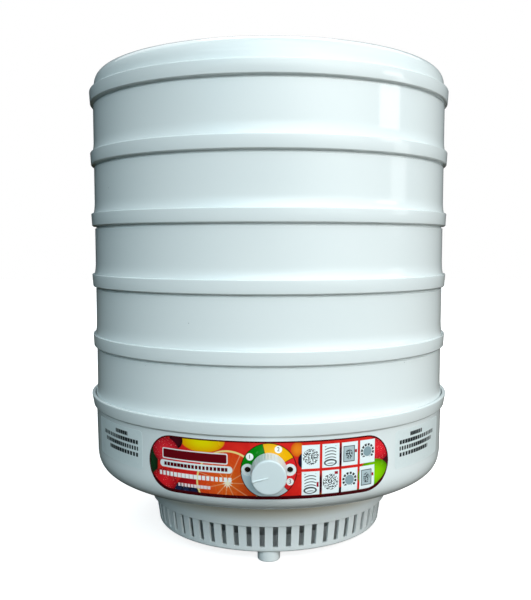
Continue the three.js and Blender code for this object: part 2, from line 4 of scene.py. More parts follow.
import bmesh
import bpy
import numpy as np
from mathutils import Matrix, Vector


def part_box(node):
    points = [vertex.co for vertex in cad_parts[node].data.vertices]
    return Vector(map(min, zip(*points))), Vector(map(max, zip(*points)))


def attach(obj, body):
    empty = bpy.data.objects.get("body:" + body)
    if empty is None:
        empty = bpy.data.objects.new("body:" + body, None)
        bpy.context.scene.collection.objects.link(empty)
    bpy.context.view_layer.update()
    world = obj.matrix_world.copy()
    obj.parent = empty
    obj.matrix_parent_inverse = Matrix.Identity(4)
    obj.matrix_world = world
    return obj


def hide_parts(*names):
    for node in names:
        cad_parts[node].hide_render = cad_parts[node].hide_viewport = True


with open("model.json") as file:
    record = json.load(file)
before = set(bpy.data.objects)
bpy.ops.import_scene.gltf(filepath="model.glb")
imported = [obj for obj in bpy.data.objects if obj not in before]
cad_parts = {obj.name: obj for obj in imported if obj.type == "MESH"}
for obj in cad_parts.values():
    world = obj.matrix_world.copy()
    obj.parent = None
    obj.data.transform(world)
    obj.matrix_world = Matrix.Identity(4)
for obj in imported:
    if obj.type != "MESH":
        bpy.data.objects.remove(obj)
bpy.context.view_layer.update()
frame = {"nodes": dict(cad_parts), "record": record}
mm = 0.001
squareness = 0.6  # exponent of the base's and the lid's rounded corners: 1 would be an ellipse
trayLow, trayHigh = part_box("tray_1")
axisY = (trayLow[1] + trayHigh[1]) / 2  # the tower's axis, behind the row's origin


def nodeBox(node):  # a node's lowest and highest corners in millimetres from the tower's axis
    low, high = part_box(node)
    shift = np.array([0, axisY, 0])
    return (np.array(low) - shift) / mm, (np.array(high) - shift) / mm


# Surfaces. A grid is an array of rows by columns by 3.

def roundedPath(corners, steps=5):
    # A closed outline through corners (a, b) or (a, b, radius). Each radius becomes an arc that touches
    # both sides.
    full = np.array([(*c, 0.0)[:3] for c in corners], float)
    points, radii = full[:, :2], full[:, 2]
    toLast = np.roll(points, 1, axis=0) - points
    toNext = np.roll(points, -1, axis=0) - points
    lastLength = np.linalg.norm(toLast, axis=1)
    nextLength = np.linalg.norm(toNext, axis=1)
    u = toLast / lastLength[:, None]
    v = toNext / nextLength[:, None]
    half = np.arccos(np.clip((u * v).sum(axis=1), -1, 1)) / 2
    bend = np.maximum(np.tan(half), 1e-6)
    reach = np.minimum(radii / bend, 0.48 * np.minimum(lastLength, nextLength))
    middle = u + v
    middle /= np.maximum(np.linalg.norm(middle, axis=1), 1e-9)[:, None]
    centre = points + middle * (reach / np.cos(np.minimum(half, pi / 2 - 1e-4)))[:, None]
    start = points + u * reach[:, None] - centre
    end = points + v * reach[:, None] - centre
    sweep = pi - 2 * half[:, None]
    share = np.linspace(0, 1, steps)[None, :]
    safe = np.maximum(np.sin(sweep), 1e-6)
    arc = start[:, None] * (np.sin((1 - share) * sweep) / safe)[..., None]
    arc += end[:, None] * (np.sin(share * sweep) / safe)[..., None] + centre[:, None]
    return np.concatenate([row if r > 0 else p[None] for row, r, p in zip(arc, radii, points)])


def softCorner(centreR, centreZ, width, rise, stopR, steps):
    # A quarter superellipse as far as stopR: r = centre + width * cos(t)^q and z = centre + rise * sin(t)^q,
    # where q is the squareness.
    stop = np.arccos(((stopR - centreR) / width) ** (1 / squareness))
    t = stop * np.linspace(0, 1, steps) ** 1.4
    r = centreR + width * np.cos(t) ** squareness
    z = centreZ + rise * np.sin(t) ** squareness
    return np.stack([r, z], axis=1)


def turned(path, angles):
    # Each point (radius, z) of the path carried round the vertical axis.
    r = path[:, :1]
    z = np.broadcast_to(path[:, 1:], (len(path), len(angles)))
    return np.stack([r * np.cos(angles), r * np.sin(angles), z], axis=-1)


def fullTurn(count):  # that many equal steps round a circle, in radians
    return np.arange(count) * 2 * pi / count


def gridFaces(rows, columns, closeRows=True, closeColumns=True):
    # The quads between neighbouring points, and between the last row or column and the first where it closes.
    index = np.arange(rows * columns).reshape(rows, columns)
    if closeRows:
        index = np.vstack([index, index[:1]])
    if closeColumns:
        index = np.hstack([index, index[:, :1]])
    return np.stack([index[:-1, :-1], index[:-1, 1:], index[1:, 1:], index[1:, :-1]], axis=-1).reshape(-1, 4)


def ring(corners, segments=160, steps=5):
    # A closed outline turned about the axis.
    grid = turned(roundedPath(corners, steps), fullTurn(segments))
    return grid.reshape(-1, 3), gridFaces(*grid.shape[:2])


def shell(outer, inner, solid, wrap=True):
    # A wall between two grids, with only the solid cells kept and a wall round every opening's edge.
    rows, columns = outer.shape[:2]
    index = np.arange(rows * columns).reshape(rows, columns)
    if wrap:
        index = np.hstack([index, index[:, :1]])
    count = rows * columns
    corners = np.stack([index[:-1, :-1], index[:-1, 1:], index[1:, 1:], index[1:, :-1]], axis=-1)
    kept = corners[solid]
    faces = [kept, kept[:, ::-1] + count]
    across = np.vstack([np.zeros_like(solid[:1]), solid, np.zeros_like(solid[:1])])
    edge = across[1:] != across[:-1]
    sides = [(index[:, :-1][edge], index[:, 1:][edge])]
    if wrap:
        edge = solid != np.roll(solid, 1, axis=1)
        sides.append((index[:-1, :-1][edge], index[1:, :-1][edge]))
    else:
        along = np.hstack([np.zeros_like(solid[:, :1]), solid, np.zeros_like(solid[:, :1])])
        edge = along[:, 1:] != along[:, :-1]
        sides.append((index[:-1][edge], index[1:][edge]))
    faces += [np.stack([a, b, b + count, a + count], axis=-1) for a, b in sides]
    return np.concatenate([outer.reshape(-1, 3), inner.reshape(-1, 3)]), np.concatenate(faces)


def thinSheet(outer, inner):
    # The wall between two open grids with no openings.
    rows, columns = outer.shape[:2]
    return shell(outer, inner, np.ones((rows - 1, columns - 1), bool), wrap=False)


def offsetPath(path, thickness):
    # The path moved sideways by the thickness, to the left of its direction.
    along = np.gradient(path, axis=0)
    along /= np.linalg.norm(along, axis=1)[:, None]
    return path + thickness * np.stack([-along[:, 1], along[:, 0]], axis=1)


def joined(*parts):
    # Several (vertices, faces) as one.
    vertices, faces, start = [], [], 0
    for points, quads in parts:
        vertices.append(points)
        faces.append(quads + start)
        start += len(points)
    return np.concatenate(vertices), np.concatenate(faces)


def aimed(points, origin, direction):
    # Local +Z turned to the direction, and moved to the origin.
    turn = np.array(Vector((0, 0, 1)).rotation_difference(Vector(direction)).to_matrix())
    return points @ turn.T + np.array(origin)


def makeMesh(name, vertices, faces, sharpDegrees=38):
    # Quads as a mesh, with doubles merged, faces outwards and smooth shading up to the sharp angle.
    used, faces = np.unique(faces, return_inverse=True)
    faces = faces.reshape(-1, 4)
    points = vertices[used] * mm + np.array([0, axisY, 0])
    mesh = bpy.data.meshes.new(name)
    mesh.vertices.add(len(points))
    mesh.vertices.foreach_set("co", points.astype(np.float32).ravel())
    mesh.loops.add(faces.size)
    mesh.loops.foreach_set("vertex_index", faces.astype(np.int32).ravel())
    mesh.polygons.add(len(faces))
    mesh.polygons.foreach_set("loop_start", np.arange(0, faces.size, 4, dtype=np.int32))
    mesh.update(calc_edges=True)
    work = bmesh.new()
    work.from_mesh(mesh)
    bmesh.ops.remove_doubles(work, verts=work.verts, dist=2e-6)
    bmesh.ops.recalc_face_normals(work, faces=work.faces)
    work.to_mesh(mesh)
    work.free()
    smooth(mesh, sharpDegrees)
    return mesh


def smooth(mesh, sharpDegrees):
    mesh.polygons.foreach_set("use_smooth", np.ones(len(mesh.polygons), bool))
    mesh.set_sharp_from_angle(angle=radians(sharpDegrees))


def makePiece(name, shape, body, material, stands=(), sharpDegrees=38):
    # A finished piece that rides on its body and stands in for the named CAD nodes.
    piece = bpy.data.objects.new(name, makeMesh(name, *shape, sharpDegrees))
    bpy.context.scene.collection.objects.link(piece)
    piece.data.materials.append(material)
    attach(piece, body)
    if stands:
        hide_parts(*stands)
    return piece


def cutHoles(piece, holes, sharpDegrees=38):
    # Round holes along Y, as (x, z, radius, from y, to y), cut out of the piece.
    parts = []
    for x, z, radius, fromY, toY in holes:
        outline = np.array([(0, fromY), (radius, fromY), (radius, toY), (0, toY)], float)
        grid = turned(outline, fullTurn(48))
        points = np.stack([grid[..., 0] + x, grid[..., 2], grid[..., 1] + z], axis=-1)
        parts.append((points.reshape(-1, 3), gridFaces(*grid.shape[:2])))
    cutter = bpy.data.objects.new("cutter", makeMesh("cutter", *joined(*parts)))
    bpy.context.scene.collection.objects.link(cutter)
    step = piece.modifiers.new("holes", "BOOLEAN")
    step.object = cutter
    step.operation = "DIFFERENCE"
    step.solver = "EXACT"
    done = bpy.data.meshes.new_from_object(piece.evaluated_get(bpy.context.evaluated_depsgraph_get()))
    piece.modifiers.clear()
    piece.data = done
    smooth(done, sharpDegrees)
    bpy.data.objects.remove(cutter)


# Materials. A Wire is one socket of a node tree, and arithmetic on wires adds Math nodes.

class Wire:
    def __init__(self, tree, socket):
        self.tree = tree
        self.socket = socket

    def node(self, kind, settings, values, output=0):
        made = self.tree.nodes.new(kind)
        for name, value in settings.items():
            if name == "stops":
                setStops(made.color_ramp, value)
            else:
                setattr(made, name, value)
        for key, value in values.items():
            if isinstance(value, Wire):
                self.tree.links.new(value.socket, made.inputs[key])
            else:
                made.inputs[key].default_value = value
        return Wire(self.tree, made.outputs[output]) if made.outputs else None

    def math(self, operation, *values):
        return self.node("ShaderNodeMath", {"operation": operation}, dict(enumerate(values)))

    def __add__(self, other):
        return self.math("ADD", self, other)

    def __radd__(self, other):
        return self.math("ADD", other, self)

    def __sub__(self, other):
        return self.math("SUBTRACT", self, other)

    def __rsub__(self, other):
        return self.math("SUBTRACT", other, self)

    def __mul__(self, other):
        return self.math("MULTIPLY", self, other)

    def __rmul__(self, other):
        return self.math("MULTIPLY", other, self)

    def __truediv__(self, other):
        return self.math("DIVIDE", self, other)

    def __neg__(self):
        return self.math("MULTIPLY", self, -1.0)

    def __abs__(self):
        return self.math("ABSOLUTE", self)

    def __pow__(self, other):
        return self.math("POWER", self, other)

    def __mod__(self, other):
        return self.math("FLOORED_MODULO", self, other)

    def __lt__(self, other):
        return self.math("LESS_THAN", self, other)

    def __gt__(self, other):
        return self.math("GREATER_THAN", self, other)

    def above(self, other):  # the larger of the two
        return self.math("MAXIMUM", self, other)

    def below(self, other):  # the smaller of the two
        return self.math("MINIMUM", self, other)

    def axes(self):
        split = self.node("ShaderNodeSeparateXYZ", {}, {0: self}).socket.node
        return [Wire(self.tree, split.outputs[i]) for i in range(3)]


def setStops(ramp, stops):  # each stop is a position and a colour
    while len(ramp.elements) < len(stops):
        ramp.elements.new(0.5)
    for element, (position, shade) in zip(ramp.elements, stops):
        element.position = position
        element.color = shade


def colour(code):  # a six-digit hex colour as linear red, green, blue and alpha
    parts = np.array([int(code[i:i + 2], 16) for i in (0, 2, 4)]) / 255
    linear = np.where(parts <= 0.04045, parts / 12.92, ((parts + 0.055) / 1.055) ** 2.4)
    return (*linear.tolist(), 1.0)


def mixed(mask, under, over):  # the colour under the mask's 0 and the colour over its 1
    return mask.node("ShaderNodeMix", {"data_type": "RGBA"}, {0: mask, 6: under, 7: over}, 2)


def noise(place, scale, detail=2.0):
    return place.node("ShaderNodeTexNoise", {}, {"Vector": place, "Scale": scale, "Detail": detail})


def cells(place, scale, output="Distance"):  # Voronoi cells
    return place.node("ShaderNodeTexVoronoi", {}, {"Vector": place, "Scale": scale}, output)


def bumped(height, strength, distance):
    return height.node("ShaderNodeBump", {}, {"Height": height, "Strength": strength, "Distance": distance})


def makeMaterial(name, fixed, paint):
    # Fixed numbers go on the shader's own sockets, and paint(place) gives what varies over the surface.
    material = bpy.data.materials.new(name)
    material.use_nodes = True
    tree = material.node_tree
    shader = tree.nodes["Principled BSDF"]
    for socket, value in fixed.items():
        shader.inputs[socket].default_value = value
    place = Wire(tree, tree.nodes.new("ShaderNodeTexCoord").outputs["Object"])
    for socket, wire in paint(place).items():
        tree.links.new(wire.socket, shader.inputs[socket])
    return material


whiteTones = ("f0f5f5", "e9f0f1", 0.05)  # the white mouldings' light and dark colours and roughness


def plasticPaint(light, dark, gloss, wave=0.05):
    # Moulded plastic: faint clouding, a soft orange-peel wave and slightly uneven gloss.
    def paint(place):
        clouds = noise(place, 14.0, 3.0)
        peel = noise(place, 160.0, 1.0)
        grain = noise(place, 1500.0, 2.0)
        specks = (cells(place, 60.0) < 0.035) * (noise(place, 23.0) > 0.62)
        shade = mixed(clouds * 0.7 + grain * 0.3, colour(dark), colour(light))
        return {
            "Base Color": mixed(specks * 0.45, shade, colour("8f9a98")),
            "Roughness": gloss + clouds * 0.05 + grain * 0.04,
            "Normal": bumped(peel + grain * 0.04, wave, 0.0004),
        }
    return paint


def metalPaint(light, dark, gloss):
    # Plain metal: noise squeezed along Z gives fine level lines, and a coarser noise gives cloudy stains.
    def paint(place):
        x, y, z = place.axes()
        lines = noise(place.node("ShaderNodeCombineXYZ", {}, {0: x * 40, 1: y * 40, 2: z * 900}), 6.0, 3.0)
        stain = noise(place, 90.0, 3.0)
        return {
            "Base Color": mixed(stain * 0.8 + lines * 0.2, colour(dark), colour(light)),
            "Roughness": gloss + lines * 0.14 + stain * 0.08,
            "Normal": bumped(lines, 0.12, 0.0002),
        }
    return paint


# Painted shade: a dark, warm colour on the neck under the shoulder, standing in for its shade and warm
# bounced light.
neckPaintedShade = {"fromZ": 46, "overZ": 16, "insideR": 140, "overR": 8, "colour": "c4b593"}


def housingPaint(place):
    # The white plastic with painted shade on the neck, dark and warm, standing in for the shade and warm
    # bounced light under the shoulder: a straight
    #     ramp up with height, times a straight ramp down with distance from the axis, where the rounded
    #     corner starts.
    surface = plasticPaint(*whiteTones)(place)
    x, y, z = place.axes()
    radius = length(x, y - axisY) / mm
    high = ((z / mm - neckPaintedShade["fromZ"]) / neckPaintedShade["overZ"]).above(0.0).below(1.0)
    near = ((neckPaintedShade["insideR"] - radius) / neckPaintedShade["overR"]).above(0.0).below(1.0)
    surface["Base Color"] = mixed(high * near, surface["Base Color"], colour(neckPaintedShade["colour"]))
    return surface


def laminationPaint(place):
    # Sheets 0.5 mm thick, with a dark seam over the lowest 0.14 of each and cloudy grey steel between.
    sheet = (place.axes()[2] / mm % 0.5) / 0.5
    seam = sheet < 0.14
    clouds = noise(place, 220.0, 4.0)
    return {
        "Base Color": mixed(seam, mixed(clouds, colour("4b4f52"), colour("70757a")), colour("1b1c1e")),
        "Roughness": 0.42 + clouds * 0.2,
        "Normal": bumped(1 - seam, 0.5, 0.0001),
    }


def windingPaint(place):
    # Lacquered wire: each strand is a triangle wave of 1.6 z + 0.25 x in millimetres, tinted by noise.
    x, _, z = place.axes()
    strand = abs((z / mm * 1.6 + x / mm * 0.25) % 1.0 - 0.5) * 2
    tint = noise(place, 300.0)
    return {
        "Base Color": mixed(strand * 0.6 + tint * 0.4, colour("8c4317"), colour("d07a3a")),
        "Roughness": 0.24 + strand * 0.15,
        "Normal": bumped(strand, 0.8, 0.0003),
    }


def micaPaint(place):
    # Pressed flakes: each Voronoi cell has its own tone, under cloudy scorching.
    flakes = cells(place, 420.0, "Color")
    tone = flakes.node("ShaderNodeSeparateColor", {}, {0: flakes})
    scorch = noise(place, 60.0, 3.0)
    return {
        "Base Color": mixed(tone * 0.6 + scorch * 0.4, colour("8b7a55"), colour("cfc3a0")),
        "Roughness": 0.45 + tone * 0.25,
        "Normal": bumped(tone, 0.25, 0.0001),
    }


def sleevePaint(place):
    # A woven sleeve: the sum of two triangle waves, along x + y + z and x - y + z, that repeat every 1.1 mm.
    x, y, z = place.axes()
    weave = abs(((x + y + z) / mm) % 1.1 - 0.55) + abs(((x - y + z) / mm) % 1.1 - 0.55)
    return {
        "Base Color": mixed(weave, colour("cfc8b4"), colour("efeadb")),
        "Roughness": 0.6 + weave * 0.2,
        "Normal": bumped(weave, 0.5, 0.0002),
    }


# The printed films. s runs round the wall from the front and t up it from the film's middle, in millimetres.

label = {
    "wallR": 187.5,
    "middle": 112.5,
    "halfLength": 118.5,
    "halfHeight": 26.4,
    "film": 0.12,
    "gap": 0.06,
    "border": 1.3,
    "lowerBorder": 2.0,
    "lowerUnder": -14.0,
}
dial = {"radius": 25.0, "discR": 3.3, "line": 0.5, "firstDeg": -47.5}
dialSectors = [(-46.6, 28.4, "e2262a"), (28.4, 102.9, "f4b400"), (102.9, 183.5, "00840f")]  # from, to, colour
dialDiscs = [("1", -16.9, 12.5), ("2", 8.4, 19.3), ("3", 18.8, -10.1)]  # numeral, s, t
tiles = {"s": 37.5, "columnPitch": 18.7, "halfS": 8.15, "halfT": 10.75, "topT": 11.7, "bottomT": -12.4}
labelBands = [  # centre s and t, half width and height, rounding, colour
    (-69.5, 9.5, 32.8, 5.0, 1.6, "f8f2f2"),
    (-69.5, 9.5, 31.8, 4.0, 1.2, "6c0614"),
    (-68.8, -0.2, 36.4, 3.3, 3.2, "f2f7f7"),
]
labelRows = [  # rows of blocks: centre t, half height, from s, to s, pitch, colour
    (-0.2, 1.7, -101.0, -37.0, 3.6, "5c0412"),
    (-9.3, 2.0, -106.0, -33.0, 4.1, "fdfbf9"),
    (-17.8, 1.5, -86.0, -53.0, 3.3, "f4e2e2"),
]
citrus = {"s": -37.0, "t": -12.0, "radius": 29.8, "rind": 1.7, "segments": 11}
fruitBehind = [  # centre s and t, half width and height, rim colour, middle colour, how far its seeds show
    (-61, 25, 21.5, 10.8, "ef8f00", "f2e200", 0.0),
    (-87, 23, 7, 8.0, "18040c", "4a0a18", 0.0),
    (-66, -18, 20, 10, "8c0c18", "c0141e", 0.0),
]
fruitInFront = [
    (-85, -22, 5.4, 5.2, "05070f", "1d2a50", 0.3),
    (-77, -24, 5.6, 5.6, "05070f", "223058", 0.3),
    (-69.5, -23, 4.8, 5, "05070f", "1b264a", 0.3),
    (-115, 0, 7, 19, "050f0a", "123a1e", 0.0),
    (-99, 12, 14.5, 12.2, "a30f22", "f02c38", 0.6),
    (-101, -16, 14, 10.5, "980c1a", "ee222c", 0.6),
    (25.4, 19, 6, 6.5, "d85008", "f48a1c", 0.0),
    (45, -25, 8, 3.4, "c84a08", "f4a42c", 0.0),
    (30.5, 8.5, 4.6, 6.8, "06030a", "2a1436", 0.0),
    (46.8, -14, 1.3, 10, "14040c", "34081a", 0.0),
    (65.6, 10, 1.3, 11, "14040c", "34081a", 0.0),
    (65.6, -22, 2.2, 4, "14040c", "34081a", 0.0),
    (79, -25, 11, 3, "274e00", "6cae00", 0.0),
    (113, -1, 10, 12, "14040c", "4a0c1a", 0.0),
    (106, 13, 14, 12.5, "980c1a", "f02634", 0.6),
    (101, -10, 17.5, 13.5, "3f8200", "92dc00", 0.0),
]


def wrapped(place, middle):
    # s is the angle from the front times the wall's radius, and t is the height over the middle.
    x, y, z = place.axes()
    s = x.math("ARCTAN2", x, axisY - y) * label["wallR"]
    return s, z / mm - middle


def inside(distance, blur=0.4):  # 1 where the signed distance is negative, with a soft edge
    edge = 0.5 - distance / blur
    return edge.above(0.0).below(1.0)


def length(a, b):  # of a flat vector
    return (a * a + b * b) ** 0.5


def oval(s, t, cs, ct, rs, rt):  # rough signed distance to an ellipse
    return (length((s - cs) / rs, (t - ct) / rt) - 1) * min(rs, rt)


def block(s, t, cs, ct, halfS, halfT, rounding=0.0):  # signed distance to a rounded rectangle
    a = abs(s - cs) - (halfS - rounding)
    b = abs(t - ct) - (halfT - rounding)
    return length(a.above(0.0), b.above(0.0)) + a.above(b).below(0.0) - rounding


def dashes(s, t, row, halfT, fromS, toS, pitch):
    # A row of plain blocks: each cell of s is filled over a width that a sine of its number varies.
    phase = s / pitch
    number = phase.math("FLOOR", phase) * 12.9898 + row * 3.7
    filled = abs(phase % 1.0 - 0.5) < (number.math("SINE", number) * 0.07 + 0.39)
    return filled * inside(block(s, t, (fromS + toS) / 2, row, (toS - fromS) / 2, halfT))


def addFruit(shade, s, t, seeds, fruit):
    # One round fruit over what is there: its middle colour fades to its rim colour by 0.9 of the reach
    # squared, where the reach is 1 at the rim.
    cs, ct, rs, rt, rim, middle, seeded = fruit
    reach = length((s - cs) / rs, (t - ct) / rt)
    skin = mixed((1 - reach * reach * 0.9).above(0.0), colour(rim), colour(middle))
    if seeded:
        skin = mixed(seeds * seeded, skin, colour("ffd9c0"))
    return mixed(inside((reach - 1) * min(rs, rt), 0.7), shade, skin)


def addCitrus(shade, s, t, grain):
    # A cut citrus: flesh from orange to red outwards, pale membranes between equal segments, a pale star in
    # the middle and a rind.
    reach = length(s - citrus["s"], t - citrus["t"])
    turn = s.math("ARCTAN2", t - citrus["t"], s - citrus["s"]) / (2 * pi)
    across = abs(turn * citrus["segments"] % 1.0 - 0.5)  # 0 in a segment's middle and 0.5 at its membranes
    flesh = mixed((reach / citrus["radius"]) ** 0.6, colour("f0701c"), colour("dc1a12"))
    flesh = mixed(grain * 0.3, flesh, colour("f08a30"))
    membrane = inside((0.5 - across) * reach * (2 * pi / citrus["segments"]) - 0.35, 0.7)
    flesh = mixed(membrane * 0.45, flesh, colour("f6cf98"))
    flesh = mixed(inside(reach - 1.6 - across * 7.0, 0.8), flesh, colour("fbf0d0"))
    rind = inside(abs(reach - citrus["radius"] + 1.0) - citrus["rind"] / 2, 0.7)
    flesh = mixed(rind, flesh, colour("f3e08c"))
    return mixed(inside(reach - citrus["radius"]), shade, flesh)


def labelPaint(place):
    # Fruit on red, then the blank name band and dashes, the tiles, the dial and a dark border.
    s, t = wrapped(place, label["middle"])
    flat = place.node("ShaderNodeCombineXYZ", {}, {0: s, 1: t, 2: 0.0})
    seeds = cells(flat, 0.75) < 0.16
    shade = mixed(noise(flat, 0.09, 3.0), colour("cc1018"), colour("f03426"))
    for fruit in fruitBehind:
        shade = addFruit(shade, s, t, seeds, fruit)
    shade = addCitrus(shade, s, t, noise(flat, 0.55, 4.0))
    for fruit in fruitInFront:
        shade = addFruit(shade, s, t, seeds, fruit)
    for *band, code in labelBands:
        shade = mixed(inside(block(s, t, *band)), shade, colour(code))
    for *row, code in labelRows:
        shade = mixed(dashes(s, t, *row), shade, colour(code))
    shade = tileArt(shade, s, t, flat)
    shade = dialArt(shade, s, t)
    edge = block(s, t, 0.0, 0.0, label["halfLength"], label["halfHeight"], label["halfHeight"])
    width = inside(t - label["lowerUnder"], 8.0) * label["lowerBorder"] + label["border"]
    shade = mixed(inside(-edge - width, 0.6), shade, colour("48060f"))
    return {
        "Base Color": shade,
        "Roughness": noise(place, 40.0) * 0.12 + 0.2,
        "Normal": bumped(noise(place, 260.0, 2.0), 0.05, 0.0003),
    }


def tileArt(shade, s, t, flat):
    # Two rows of four white tiles with plain pictures: sliced food, a tray stack, a drying sheet and a ring
    # of slices. Each tile has its own a and b, in millimetres from its middle.
    column = (s - tiles["s"]) / tiles["columnPitch"] + 0.5
    column = column.math("FLOOR", column).above(0.0).below(3.0)
    upper = t > (tiles["topT"] + tiles["bottomT"]) / 2
    a = s - column * tiles["columnPitch"] - tiles["s"]
    b = t - upper * (tiles["topT"] - tiles["bottomT"]) - tiles["bottomT"]

    def picks(above, under):  # 1 in one column of the upper row and one of the lower row
        return (abs(column - above) < 0.5) * upper + (abs(column - under) < 0.5) * (1 - upper)

    speck = noise(flat, 0.8, 2.0) > 0.5
    far = length(a, b)
    sliced = inside(far - 7.3) * speck
    arc = abs((b + a * a * 0.05) % 2.8 - 1.4) - 0.4  # bowed lines 2.8 mm apart
    stack = inside(arc, 0.3) * inside(block(a, b, -0.4, 0.6, 5.4, 8.0))
    stack = stack + inside(abs(oval(a, b, -0.4, -6.4, 5.4, 2.8)) - 0.4, 0.3)
    panel = block(a, b, -0.8, 0.0, 5.4, 7.0)
    sheet = inside(abs(panel) - 0.35) + inside(oval(a, b, -0.8, -0.4, 3.7, 4.6)) * speck
    turn = a.math("ARCTAN2", b, a) * (12 / (2 * pi)) % 1.0  # twelve slices to the ring
    slices = inside(abs(far - 6.2) - 1.1) * (turn > 0.3) * (b > -5.0)
    washed = picks(2.0, 3.0) * inside(panel) * 0.7 + picks(3.0, 2.0) * inside(far - 4.6)
    ink = picks(0.0, 1.0) * sliced + picks(1.0, 0.0) * stack
    ink = ink + picks(2.0, 3.0) * sheet + picks(3.0, 2.0) * slices
    noColumn = 9.0
    mark = picks(2.0, 3.0) * inside(block(a, b, 6.2, 2.0, 1.1, 1.4))
    mark = mark + picks(noColumn, 1.0) * inside(block(a, b, 5.4, 8.0, 1.6, 1.3))
    mark = mark + picks(noColumn, 0.0) * inside(block(a, b, 6.4, -1.4, 1.0, 2.2))
    card = mixed(washed.below(1.0), colour("f4fdff"), colour("8fa6ae"))
    card = mixed(ink.below(1.0) * 0.95, card, colour("0b161c"))
    card = mixed(mark.below(1.0), card, colour("a00820"))
    return mixed(inside(block(a, b, 0.0, 0.0, tiles["halfS"], tiles["halfT"]), 0.3), shade, card)


def dialArt(shade, s, t):
    # A pale dial with coloured sectors, each from one angle to another, a dark line at their ends and pale
    # discs. The angle is counted on from the first degree, so that no sector is split.
    far = length(s, t)
    turn = (s.math("ARCTAN2", t, s) * (180 / pi) - dial["firstDeg"]) % 360.0 + dial["firstDeg"]
    face = colour("d3e2e6")
    for start, stop, code in dialSectors:
        face = mixed((turn > start) * (turn < stop), face, colour(code))
    for angle in [start for start, _, _ in dialSectors] + [dialSectors[-1][1]]:
        aside = abs(turn - angle) * (pi / 180) * far
        face = mixed(inside(aside - dial["line"] / 2), face, colour("16130f"))
    for _, cs, ct in dialDiscs:
        face = mixed(inside(length(s - cs, t - ct) - dial["discR"]), face, colour("fbfefd"))
    face = mixed(inside(abs(far - dial["radius"]) - dial["line"]), face, colour("0c0806"))
    return mixed(inside(far - dial["radius"] - 0.2), shade, face)


sticker = {
    "middle": 119.5,
    "centreDeg": 52.5,
    "halfLength": 44,
    "halfHeight": 18.5,
    "rounding": 4,
    "blockHalfT": 1.9,
    "rows": [(12.5, 150, 172, 3.6), (6.6, 134, 200, 4.3), (0.6, 134, 196, 3.9), (-5.4, 134, 186, 4.6)],
}  # each row has its t, from s, to s and pitch


def stickerPaint(place):
    # Rows of plain blocks, the same on both films.
    s, t = wrapped(place, sticker["middle"])
    dark = 0.0
    for row, fromS, toS, pitch in sticker["rows"]:
        dark = dashes(abs(s), t, row, sticker["blockHalfT"], fromS, toS, pitch) + dark
    fade = noise(place, 300.0)
    film = mixed(fade, colour("dfe9ea"), colour("e9f1f1"))
    return {
        "Base Color": mixed(dark.below(1.0), film, colour("0a141a")),
        "Roughness": fade * 0.1 + 0.3,
        "Normal": bumped(fade, 0.05, 0.0002),
    }


print("materials")
whitePlastic = makeMaterial("whitePlastic", {"IOR": 1.5}, plasticPaint(*whiteTones))
housingPlastic = makeMaterial("housingPlastic", {"IOR": 1.5}, housingPaint)
knobPlastic = makeMaterial("knobPlastic", {"IOR": 1.5}, plasticPaint("dde7e9", "d3dfe2", 0.26, 0.12))
darkPlastic = makeMaterial("darkPlastic", {"IOR": 1.5}, plasticPaint("2c2f31", "1f2123", 0.42, 0.4))
fanPlastic = makeMaterial("fanPlastic", {"IOR": 1.5}, plasticPaint("3b4044", "2d3134", 0.36, 0.2))
labelPrint = makeMaterial("labelPrint", {"IOR": 1.5}, labelPaint)
stickerFilm = makeMaterial("stickerFilm", {"IOR": 1.5}, stickerPaint)
zincSteel = makeMaterial("zincSteel", {"Metallic": 1.0}, metalPaint("c9cdcf", "8f9496", 0.22))
laminationSteel = makeMaterial("laminationSteel", {"Metallic": 0.9}, laminationPaint)
windingCopper = makeMaterial("windingCopper", {"Metallic": 0.8}, windingPaint)
# Painted shade: a dark brown metal colour for the regulator screws, standing in for the dark reflections deep
# in their recesses.
recessShadedZinc = makeMaterial("recessShadedZinc", {"Metallic": 1.0}, metalPaint("4c4030", "14100c", 0.3))
heaterWire = makeMaterial("heaterWire", {"Metallic": 1.0}, metalPaint("8d857e", "544c46", 0.35))
micaBoard = makeMaterial("micaBoard", {"IOR": 1.5}, micaPaint)
leadSleeve = makeMaterial("leadSleeve", {"IOR": 1.45}, sleevePaint)

slotMaterials = {
    "white_plastic": whitePlastic,
    "knob_plastic": knobPlastic,
    "label_film": labelPrint,
    "sticker_film": stickerFilm,
    "zinc_steel": zincSteel,
    "lamination_steel": laminationSteel,
    "winding_copper": windingCopper,
    "resistance_wire": heaterWire,
    "mica_board": micaBoard,
    "dark_plastic": darkPlastic,
    "fan_plastic": fanPlastic,
    "lead_sleeve": leadSleeve,
}
nodeSlots = {part["node"]: part["material_slot"] for part in frame["record"]["subparts"]}
for node, thing in frame["nodes"].items():  # every CAD node starts from its slot's material
    thing.data.materials.clear()
    thing.data.materials.append(slotMaterials[nodeSlots[node]])

print("trays")
tray = {
    "count": 5,
    "pitch": 62.5,
    "wallR": 186.3,
    "wall": 2.1,
    "rimR": 187.6,
    "flare": 12.0,
    "drop": 9.2,
    "collarTopR": 190.0,
    "collarFootR": 189.3,
    "collarInnerR": 188.2,
    "collarHeight": 13.2,
    "groove": 2.4,
    "grooveDepth": 1.4,
    "seat": 9.5,
    "floor": 2.0,
    "sieveR": 181.0,
}
sieve = {
    "rib": 1.7,
    "hubR": 11,
    "zones": [(10, 60, 6, 30), (60, 118, 7, 60), (118, 181.6, 8, 120)],
}  # each zone has its inner and outer radius, its rings and the openings in a ring


